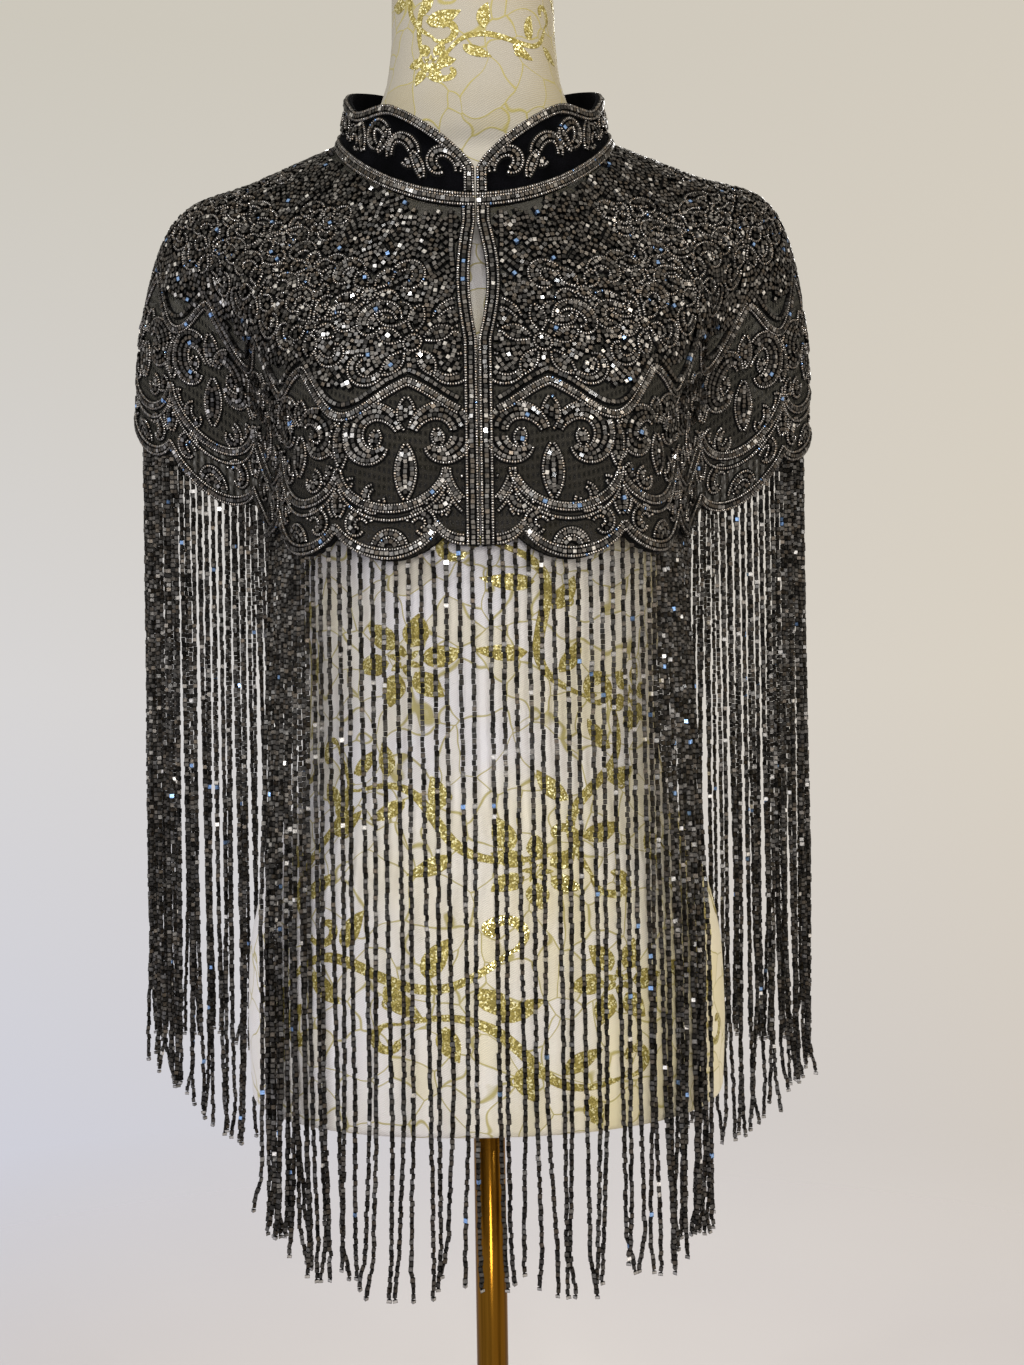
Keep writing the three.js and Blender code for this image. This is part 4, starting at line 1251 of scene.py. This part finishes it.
fringe = {
    "length": 457, "radius": 1.35, "sway": 2.2, "hipReach": 0.6, "hipClearance": 5, "seamClear": 1.5,
    "stripGap": 0.55, "stripDepth": 3.4, "stripHeight": 4, "rootDepth": 1, "jag": 0.13, "drift": 2.6,
    "hook": 2.6, "driftStart": 0.72, "hookStart": 0.94, "bright": 0.006, "blue": 0.005, "tipTint": 0.93,
    "places": 401, "thickness": (0.9, 1.06), "stripStations": 300, "stripClear": 1, "jagRoot": 0.6,
    "swayTurn": (2.4, 1.7), "swayBend": 3,
}
tipBead = (1.1, 1.1, 0.62)       # how much wider and shorter the bead at a strand's foot is
# share of the hem from centre front, and how far apart the strands are sewn there
strandSpacing = [(0, 8), (0.07, 8), (0.11, 6.4), (0.15, 5.5), (0.32, 5.5), (0.37, 7.5), (0.5, 8.5)]
hips = {"halfWidth": 165, "front": 120, "back": 117, "full": 2.2}
stripFace = -cloth["netWall"] - fringe["stripGap"]
strandCentre = stripFace - fringe["stripDepth"] + fringe["radius"]


def hipPush(x, y):
    # how far forward or back the hips push a strand from where it is sewn
    depth = np.where(y < 0, hips["front"], hips["back"]) + fringe["hipClearance"]
    across = np.minimum(np.abs(x) / (hips["halfWidth"] + fringe["hipClearance"]), 1)
    surface = depth * (1 - across ** hips["full"]) ** (1 / hips["full"])
    return np.sign(y) * np.maximum(surface - np.abs(y), 0)


def strandShares(start, end):
    clear = fringe["seamClear"] / hemLength
    places = np.linspace(start + clear, end - clear, fringe["places"])
    middle = (places[1:] + places[:-1]) / 2
    spacing = np.interp(np.minimum(middle, 1 - middle), *np.array(strandSpacing).T)
    counts = np.concatenate([[0], np.cumsum(np.diff(places) * hemLength / spacing)])
    number = round(counts[-1])
    return np.interp((np.arange(number) + 0.5) / number * counts[-1], counts, places)


def strandLines(shares):
    # hangs straight, a little jagged at each bead, and drifts and hooks only near its end
    ring = hemRing.ringAt(shares)
    root = clothPoint(ring, hemEdge(ring) - fringe["rootDepth"] * downPerMm(ring, nearHem), strandCentre)
    count = int(fringe["length"] / beadKinds["fringe"]["pitch"])
    reach = np.linspace(0, 1, count + 1)[None, :]
    number = np.arange(len(shares))[:, None]
    push = hipPush(root[:, 0], root[:, 1])[:, None] * np.minimum(reach / fringe["hipReach"], 1)
    low, tip = smoothStep(reach, fringe["driftStart"], 1), smoothStep(reach, fringe["hookStart"], 1)
    turn, bend = fringe["swayTurn"], reach * fringe["swayBend"]
    x = root[:, :1] + fringe["sway"] * reach * np.sin(number * turn[0] + bend)
    y = root[:, 1:2] + push + fringe["sway"] * reach * np.cos(number * turn[1] + bend)
    x = x + fringe["jag"] * random.normal(0, 1, x.shape) * (fringe["jagRoot"] + low)
    for amount, share in ((fringe["drift"], low), (fringe["hook"], tip)):
        x = x + share * random.normal(0, amount, (len(shares), 1))
    z = root[:, 2:] - fringe["length"] * reach
    return np.stack([x, y, z + 0 * x], axis=-1)


def fringePiece(name, start, end, seed):
    lines = strandLines(strandShares(start, end))
    place, run = (lines[:, 1:] + lines[:, :-1]) / 2, lines[:, :-1] - lines[:, 1:]
    along = unit(run)
    turn = random.uniform(0, 2 * np.pi, place.shape[:2])[..., None]
    facing = unit(np.cross(along, np.concatenate([np.cos(turn), np.sin(turn), 0 * turn], axis=-1)))
    stretch = np.ones(place.shape)
    stretch[..., 2] = np.linalg.norm(run, axis=-1) / beadKinds["fringe"]["pitch"]
    stretch[..., :2] *= random.uniform(*fringe["thickness"], place.shape[:2])[..., None]
    stretch[:, -1] = tipBead
    tint = tints(place.shape[0] * place.shape[1], fringe["bright"], fringe["blue"]).reshape(place.shape[:2])
    tint[:, -1] = fringe["tipTint"]
    vectors = {"place": place, "along": along, "facing": facing, "stretch": stretch}
    row = {key: values.reshape(-1, 3) for key, values in vectors.items()}
    strands = beadPiece(name + "_beads", "fringe", [{**row, "tint": tint.ravel()}], seed)
    clear = fringe["stripClear"] / hemLength
    ring = alongHem(start + clear, end - clear, round((end - start) * fringe["stripStations"]))[1]
    foot = hemEdge(ring)
    head = foot - fringe["stripHeight"] * downPerMm(ring, nearHem)
    strip = tapeStrip(name + "_strip", lambda lift: clothPoint(ring, head, lift),
                      lambda lift: clothPoint(ring, foot, lift), stripFace - fringe["stripDepth"], stripFace)
    return joined(name, [strip, strands])


# height, half width, front, back, middle, fullness
formSections = np.array([
    (689, 160, 115, 110, 0, 2.2), (694, 163, 118, 113, 0, 2.2), (740, 165, 120, 117, 0, 2.2),
    (793, 163, 119, 118, 0, 2.2), (834, 154, 114, 113, 0, 2.2), (872, 138, 104, 101, 0, 2.2),
    (906, 125, 96, 90, 0, 2.2), (940, 120, 92, 85, 0, 2.2), (975, 120, 92, 85, 0, 2.2),
    (1015, 125, 96, 88, 0, 2.2), (1060, 131, 100, 92, 0, 2.2), (1105, 135, 102, 96, 0, 2.1),
    (1150, 140, 98, 100, 1, 2.1), (1190, 150, 91, 100, 3, 2.05), (1225, 163, 84, 96, 6, 2.0),
    (1255, 177, 77, 88, 10, 1.9), (1275, 187, 69, 76, 13, 1.85), (1290, 193, 63, 65, 16, 1.8),
    (1302, 193, 57, 55, 17, 1.75), (1312, 171, 53, 49, 14, 1.75), (1322, 142, 50, 47, 9, 1.8),
    (1332, 109, 46, 48, 4, 1.9), (1343, 80, 49, 52, 1, 2.0), (1360, 70, 52, 55, 0, 2.1),
    (1385, 61, 52, 54, 0, 2.2), (1415, 57, 52, 54, 0, 2.2), (1483, 56, 52, 54, 0, 2.2),
    (1489, 53, 49, 51, 0, 2.2),
])
form = {"sides": 108, "perSection": 3, "smooth": 0.5, "nudge": (0.01, 0.02)}
lastSection = len(formSections) - 1
smoothedSections = extended(formSections)


def formPoint(turn, place, lift=0.0):
    # turn is an angle round the form, 0 at +X and a right angle at the back; place counts sections
    # from the foot. The sides are a blend of straight ones and a smooth curve through the sections.
    turn, place = np.broadcast_arrays(np.asarray(turn, float), np.asarray(place, float))
    start = np.minimum(np.floor(place).astype(int), lastSection - 1)
    p = [smoothedSections[start + k] for k in range(4)]
    weight = place - start
    straight = p[1] + (p[2] - p[1]) * weight[..., None]
    row = cubicThrough(*p, weight) * form["smooth"] + straight * (1 - form["smooth"])
    height, halfWidth, front, back, middle, full = np.moveaxis(row, -1, 0)
    side, face = np.cos(turn), np.sin(turn)
    x = halfWidth * np.sign(side) * np.abs(side) ** (2 / full)
    y = middle + np.where(face < 0, front, back) * np.sign(face) * np.abs(face) ** (2 / full)
    points = np.stack([x, y, height], axis=-1)
    if np.any(lift):
        points = points + formNormal(turn, place) * np.asarray(lift)[..., None]
    return points


def formNormal(turn, place):
    aside, up = form["nudge"]
    low, high = np.maximum(place - up, 0), np.minimum(place + up, lastSection)
    across = formPoint(turn + aside, place) - formPoint(turn - aside, place)
    return unit(np.cross(across, formPoint(turn, high) - formPoint(turn, low)))


def closeEnds(shape):
    bmesh.ops.holes_fill(shape, edges=[edge for edge in shape.edges if edge.is_boundary], sides=0)


def dressForm():
    rows = np.linspace(0, lastSection, lastSection * form["perSection"] + 1)
    turn = np.linspace(0, 2 * np.pi, form["sides"], endpoint=False)
    grid = formPoint(turn[:, None], rows[None, :])
    faces = gridFaces(*grid.shape[:2], closed=True)[:, ::-1]
    return reshaped(makeMesh("form_cover", grid.reshape(-1, 3), faces, finish["lace"]), closeEnds)


def placeAtHeight(height):
    return np.interp(height, formSections[:, 0], np.arange(len(formSections)))


def formGround(turn, height, rotation, size):
    # a place on the form, turned and scaled; at also takes a lift over the cover
    radius = float(np.linalg.norm(formPoint(math.radians(turn), placeAtHeight(height))[:2]))
    c, s = size * math.cos(math.radians(rotation)), size * math.sin(math.radians(rotation))

    def at(x, y, lift):
        around = math.radians(turn) + (c * x - s * y) / radius
        return formPoint(around, placeAtHeight(height + s * x + c * y), lift)
    return at


# how high the gold strips stand on the cover, their points, and how wide they are and how they swell
gold = {
    "foot": 0.06, "top": 0.26, "spiralPoints": 17, "spiralEnd": 1.0, "spiralArch": (0.05, 0.85),
    "leafPoints": 8, "leafEnd": 0.6, "leafPower": 0.9, "leafLean": 0.8, "stemPoints": 28, "stemPower": 0.7,
}
# petal, sepal and leaf are length, widest and curl; an eye or coil ends with two radii and its widest
flower = {
    "petals": 6, "foot": 5.5, "petal": (19, 12, 24), "sepal": (7, 3), "sepalFoot": 0.2, "sepalTurn": 30,
    "eye": (0, 350, 4.2, 4.0, 1.6),
}
vine = {
    "half": 62, "bend": 15, "stem": (2.0, 4.6), "coil": (300, 13, 3, 6.4), "coilRise": 13,
    "leaves": (0.18, 0.36, 0.52, 0.70, 0.86), "leafFoot": 2.5, "leafTurn": 58, "leaf": (27, 11.5, 30),
    "eye": (4, -19, 0, 350, 3.4, 3.2, 1.6),
}


class GoldWork:
    # gathers thin raised strips into one mesh
    def __init__(self):
        self.points, self.faces, self.count = [], [], 0

    def strip(self, at, x, y, width):
        run = unit(np.stack([np.gradient(x), np.gradient(y)], axis=-1))
        across = np.array([-0.5, 0, 0.5])
        xs = x[:, None] - run[:, 1:] * across * width[:, None]
        ys = y[:, None] + run[:, :1] * across * width[:, None]
        foot, top = (np.full(xs.shape, gold[key]) for key in ("foot", "top"))
        points, faces = wallPoints(at(xs, ys, top), at(xs, ys, foot))
        self.points.append(points)
        self.faces.append(faces + self.count)
        self.count += len(points)

    def spiral(self, at, x, y, start, sweep, outer, inner, widest):
        xs, ys, t = coiled(x, y, start, sweep, outer, inner, gold["spiralPoints"])
        fine = gold["spiralEnd"]
        self.strip(at, xs, ys, fine + (widest - fine) * hump(t, 1, *gold["spiralArch"]))

    def leaf(self, at, x, y, direction, length, widest, curl=0.0):
        xs, ys, t = bent(x, y, direction, length, curl, gold["leafPoints"])
        self.strip(at, xs, ys, gold["leafEnd"] + widest * hump(t ** gold["leafLean"], gold["leafPower"]))

    def flower(self, at):
        for k in range(flower["petals"]):
            direction = 360 * k / flower["petals"]
            x, y = (flower["foot"] * part(math.radians(direction)) for part in (math.cos, math.sin))
            self.leaf(at, x, y, direction, *flower["petal"])
            near, turn = flower["sepalFoot"], flower["sepalTurn"]
            self.leaf(at, x * near, y * near, direction + turn, *flower["sepal"])
        self.spiral(at, 0, 0, *flower["eye"])

    def vine(self, at):
        half, bend, (thin, more) = vine["half"], vine["bend"], vine["stem"]
        t = np.linspace(0, 1, gold["stemPoints"])
        x, y = -half + 2 * half * t, bend * np.sin(2 * np.pi * t)
        self.strip(at, x, y, thin + more * hump(t, gold["stemPower"]))
        for way in (1, -1):
            self.spiral(at, way * half, way * vine["coilRise"], -way * 90, *vine["coil"])
        length, widest, curl = vine["leaf"]
        for number, place in enumerate(vine["leaves"]):
            way = 1 if number % 2 else -1
            x, y = -half + 2 * half * place, bend * math.sin(2 * math.pi * place)
            self.leaf(at, x, y + way * vine["leafFoot"], way * vine["leafTurn"], length, widest, -way * curl)
        self.spiral(at, *vine["eye"])


# gold motifs: kind, degrees round the form with -90 at centre front, height, rotation, size
goldMotifs = [
    ("flower", -112, 985, 12, 1.15), ("vine", -74, 1010, 118, 0.9), ("vine", -57, 905, 74, 0.95),
    ("vine", -101, 882, 158, 0.85), ("flower", -79, 852, 30, 0.85), ("flower", -62, 782, 5, 1.05),
    ("vine", -113, 790, 12, 1.0), ("vine", -84, 742, -20, 0.85), ("vine", -136, 870, 96, 0.9),
    ("flower", -141, 752, 40, 0.9), ("vine", -33, 800, 100, 1.0), ("flower", -37, 960, 20, 0.9),
    ("vine", -100, 1440, 66, 0.85), ("flower", -68, 1462, 18, 1.0), ("vine", -70, 1400, 24, 0.62),
    ("vine", -132, 1446, 110, 0.75), ("flower", -116, 1384, 0, 0.6), ("vine", -88, 1120, 10, 0.9),
    ("vine", -10, 880, 82, 0.95), ("flower", 4, 770, 10, 1.0), ("vine", 30, 960, 60, 0.9),
    ("vine", 52, 850, 140, 1.0), ("flower", 78, 930, 25, 1.1), ("vine", 96, 1010, 15, 0.95),
    ("vine", 92, 790, 170, 1.0), ("flower", 118, 860, 0, 0.9), ("vine", 134, 960, 70, 0.95),
    ("vine", 150, 780, 30, 0.9), ("flower", 172, 880, 15, 0.95), ("vine", -165, 970, 95, 0.9),
    ("vine", 40, 1430, 70, 0.6), ("flower", 92, 1450, 12, 0.7), ("vine", 150, 1425, 110, 0.6),
    ("vine", 0, 1440, 80, 0.5), ("flower", 60, 1050, 0, 0.9), ("vine", 125, 1080, 150, 0.9),
]


def goldPiece():
    work = GoldWork()
    for kind, *where in goldMotifs:
        draw = work.vine if kind == "vine" else work.flower
        draw(formGround(*where))
    points, faces = np.concatenate(work.points), np.concatenate(work.faces)
    return makeMesh("gold_motifs", points, faces, finish["gold"], smooth=False)


def mergeAxis(shape):
    bmesh.ops.remove_doubles(shape, verts=shape.verts, dist=1e-6)


def turnedPiece(name, outline):
    # a closed turned shape from (radius, height) rows, axis at both ends
    turn = np.linspace(0, 2 * np.pi, stand["sides"], endpoint=False)[:, None]
    radius, height = np.array(outline, float).T
    grid = np.stack([radius * np.cos(turn), radius * np.sin(turn), height + 0 * turn], axis=-1)
    faces = gridFaces(stand["sides"], len(outline), closed=True)[:, ::-1]
    return reshaped(makeMesh(name, grid.reshape(-1, 3), faces, finish["brass"]), mergeAxis)


def roundedOutline(points, radius, steps=4):
    # rounds the corners of an outline of (radius, height) points, but not its ends
    made = [points[0]]
    for before, here, after in zip(points, points[1:], points[2:]):
        here = np.array(here, float)
        back, on = np.array(before) - here, np.array(after) - here
        cut = min(radius, np.linalg.norm(back) * stand["cutShare"], np.linalg.norm(on) * stand["cutShare"])
        start, end = here + back / np.linalg.norm(back) * cut, here + on / np.linalg.norm(on) * cut
        for t in np.linspace(0, 1, steps):
            made.append(tuple(start * (1 - t) ** 2 + 2 * here * t * (1 - t) + end * t ** 2))
    return made + [points[-1]]


stand = {
    "poleRadius": 11, "poleFoot": 38.3, "poleHead": 688.7, "poleEdge": 0.6, "sides": 96, "baseEdge": 3.0,
    "cutShare": 0.45,
}
baseProfile = [(0, 0), (163, 0), (165, 3), (165, 8), (161, 12), (40, 18), (24, 24), (20, 38), (0, 38)]


def poleOutline():
    r, low, high, edge = (stand[key] for key in ("poleRadius", "poleFoot", "poleHead", "poleEdge"))
    return [(0, low), (r - edge, low), (r, low + edge), (r, high - edge), (r - edge, high), (0, high)]


def placed(piece, node=None):
    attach(piece, "root")
    if node:
        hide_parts(node)
    print(piece.name, len(piece.data.polygons), "faces")
    return piece


def rowsOn(kind, start, end):
    # the beads of one kind that lie on one panel
    row = merged(field.rows[kind])
    share = (np.arctan2(row["place"][:, 0], -row["place"][:, 1]) / (2 * np.pi)) % 1
    chosen = (share >= start) & (share < end)
    return [{key: value[chosen] for key, value in row.items()}]


placed(dressForm(), "form_body")
placed(goldPiece())
placed(turnedPiece("pole_tube", poleOutline()), "pole")
placed(turnedPiece("base_plate", roundedOutline(baseProfile, stand["baseEdge"])), "base")

for number, (side, (start, end)) in enumerate(panels.items()):
    panel, width, length, area = netPanel("net_" + side, start, end)
    placed(panel, "back_panel" if side == "back" else "front_panel_" + side)
    rowsOf = {kind: rowsOn(kind, start, end) for kind in ("seed", "cut")}
    others = [
        # black thread and painted shadow under the beads
        placed(threadAndShadowPatches("bead_thread_and_shadow_" + side, rowsOf)),
        placed(beadPiece("seed_beads_" + side, "seed", rowsOf["seed"], 5 + number)),
        placed(beadPiece("cut_beads_" + side, "cut", rowsOf["cut"], 15 + number)),
        placed(hemBand("hem_beads_" + side, start, end, 30 + 2 * number), "hem_band_" + side),
        placed(fringePiece("fringe_strands_" + side, start, end, 40 + number), "fringe_" + side),
    ]
    if side != "back":
        frontBeads = frontBand("front_beads_" + side, 1 if side == "right" else -1, 50 + 2 * number)
        others.append(placed(frontBeads, "front_band_" + side))
    print("net", side, round(width, 3), round(length, 3), round(area, 4))

velvet, velvetFace = standCollar()
placed(velvet, "stand_collar")
for side in (-1, 1):
    collarScrolls(side)
trimmings = [
    placed(collarFootBand(), "collar_foot_band"),
    placed(collarRim(), "collar_rim"),
    placed(joined("collar_scroll_beads", [
        # black thread and painted shadow under the collar beads
        threadAndShadowPatches("collar_thread_and_shadow", collarField.rows),
        *[beadPiece("collar_" + kind, kind, collarField.rows[kind], 80) for kind in ("seed", "cut")],
    ])),
]
velvetWidth, velvetLength, velvetArea = sheetSizes(velvetFace)
print("velvet collar", round(velvetWidth, 3), round(velvetLength, 3), round(velvetArea, 4))

ground = {"half": 9000, "height": -1, "fadeEnd": 2.2, "fadeRate": 0.8}


def floorFinish():
    # thins out into the plain background
    sheet = Surface("pale_floor", Roughness=0.85, Specular_IOR_Level=0.2)
    away = sheet.add("ShaderNodeVectorMath", {"operation": "LENGTH"}, i0=sheet.place()).outputs["Value"]
    beyond = sheet.maths("SUBTRACT", ground["fadeEnd"], away)
    sheet.out(
        Base_Color=sheet.ramp(sheet.noise(1.5, 2.0), [(0.3, (0.62, 0.60, 0.62)), (0.7, (0.66, 0.64, 0.65))]),
        Alpha=sheet.maths("MULTIPLY", beyond, ground["fadeRate"], clamp=True),
    )
    return sheet.material


floorCorners = [
    (x * ground["half"], y * ground["half"], ground["height"])
    for x, y in ((-1, -1), (1, -1), (1, 1), (-1, 1))
]
floor = makeMesh("floor", floorCorners, [(0, 1, 2, 3)], floorFinish())
floor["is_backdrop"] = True

scene = bpy.context.scene
scene.world = world = bpy.data.worlds.new("studio")
world.use_nodes = True
# a plain wall: cream on the right and above, with lilac-grey painted shade low on the left; greys
# choose between the two
wallBands = [
    ("Z", [(0.0, (0.60, 0.62, 0.74)), (0.5, (0.68, 0.67, 0.68)), (1.0, (0.60, 0.57, 0.50))]),
    ("Z", [(0.0, (0.63, 0.575, 0.52)), (0.5, (0.69, 0.63, 0.535)), (1.0, (0.65, 0.60, 0.515))]),
    ("X", [(0.0, (0, 0, 0)), (1.0, (1, 1, 1))]),
]
wallSpread = 0.42


def wallToneAndShade(wall):
    direction = wall.add("ShaderNodeTexCoord").outputs["Generated"]
    left, right, across = (
        wall.ramp(wall.add("ShaderNodeMapRange", (), From_Min=-wallSpread, From_Max=wallSpread,
                           Value=wall.part(direction, axis)).outputs[0], stops)
        for axis, stops in wallBands
    )
    return wall.mix(across, left, right)


background = world.node_tree.nodes["Background"]
background.inputs["Strength"].default_value = 1.0
world.node_tree.links.new(wallToneAndShade(Graph(world.node_tree)), background.inputs["Color"])

lampShape = 0.8      # a lamp's height as a share of its width
# name, place, target, width, power, colour
lights = [
    ("window", (-1.9, -2.2, 2.5), (0, 0, 1.1), 1.3, 17, (0.93, 0.96, 1.0)),
    ("lamp", (1.8, -1.6, 2.7), (0, 0, 1.15), 0.4, 11, (1.0, 0.92, 0.8)),
    ("front", (0.05, -2.6, 1.05), (0, 0, 0.95), 0.5, 27, (1.0, 0.98, 0.95)),
    ("spark_0", (-0.7, -2.0, 2.0), (0, 0, 1.15), 0.1, 5, (0.92, 0.96, 1.0)),
    ("spark_1", (0.6, -1.8, 2.4), (0, 0, 1.15), 0.1, 5, (0.92, 0.96, 1.0)),
    ("spark_2", (-1.2, -1.2, 2.9), (0, 0, 1.15), 0.1, 5, (0.92, 0.96, 1.0)),
    ("spark_3", (1.3, -2.3, 1.7), (0, 0, 1.15), 0.1, 5, (0.92, 0.96, 1.0)),
    ("back", (0.6, 2.4, 2.2), (0, 0, 1.1), 1.2, 30, (1.0, 0.97, 0.94)),
]
for name, place, target, width, power, colour in lights:
    lamp = bpy.data.lights.new(name, "AREA")
    lamp.shape, lamp.size, lamp.size_y = "RECTANGLE", width, width * lampShape
    lamp.energy, lamp.color = power, colour
    light = addObject(name, lamp)
    light.location = place
    light.rotation_euler = (Vector(target) - Vector(place)).to_track_quat("-Z", "Y").to_euler()

view = {"distance": 0.965, "height": 0.970, "yaw": 1.22, "roll": -0.85, "lens": 36.3, "sensor": 36}
camera = bpy.data.cameras.new("camera")
camera.sensor_width, camera.lens = view["sensor"], view["lens"]
cameraObject = addObject("camera", camera)
cameraObject.location = (0, -view["distance"], view["height"])
level = Euler((math.radians(90), 0, -math.radians(view["yaw"])), "XYZ").to_matrix()
rolled = Euler((0, 0, math.radians(view["roll"])), "XYZ").to_matrix()
cameraObject.rotation_euler = (level @ rolled).to_euler()
scene.camera = cameraObject
scene.view_settings.view_transform = "Standard"

meshes = [piece.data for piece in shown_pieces() if piece.type == "MESH"]
print("triangles in all", sum(len(polygon.vertices) - 2 for mesh in meshes for polygon in mesh.polygons))
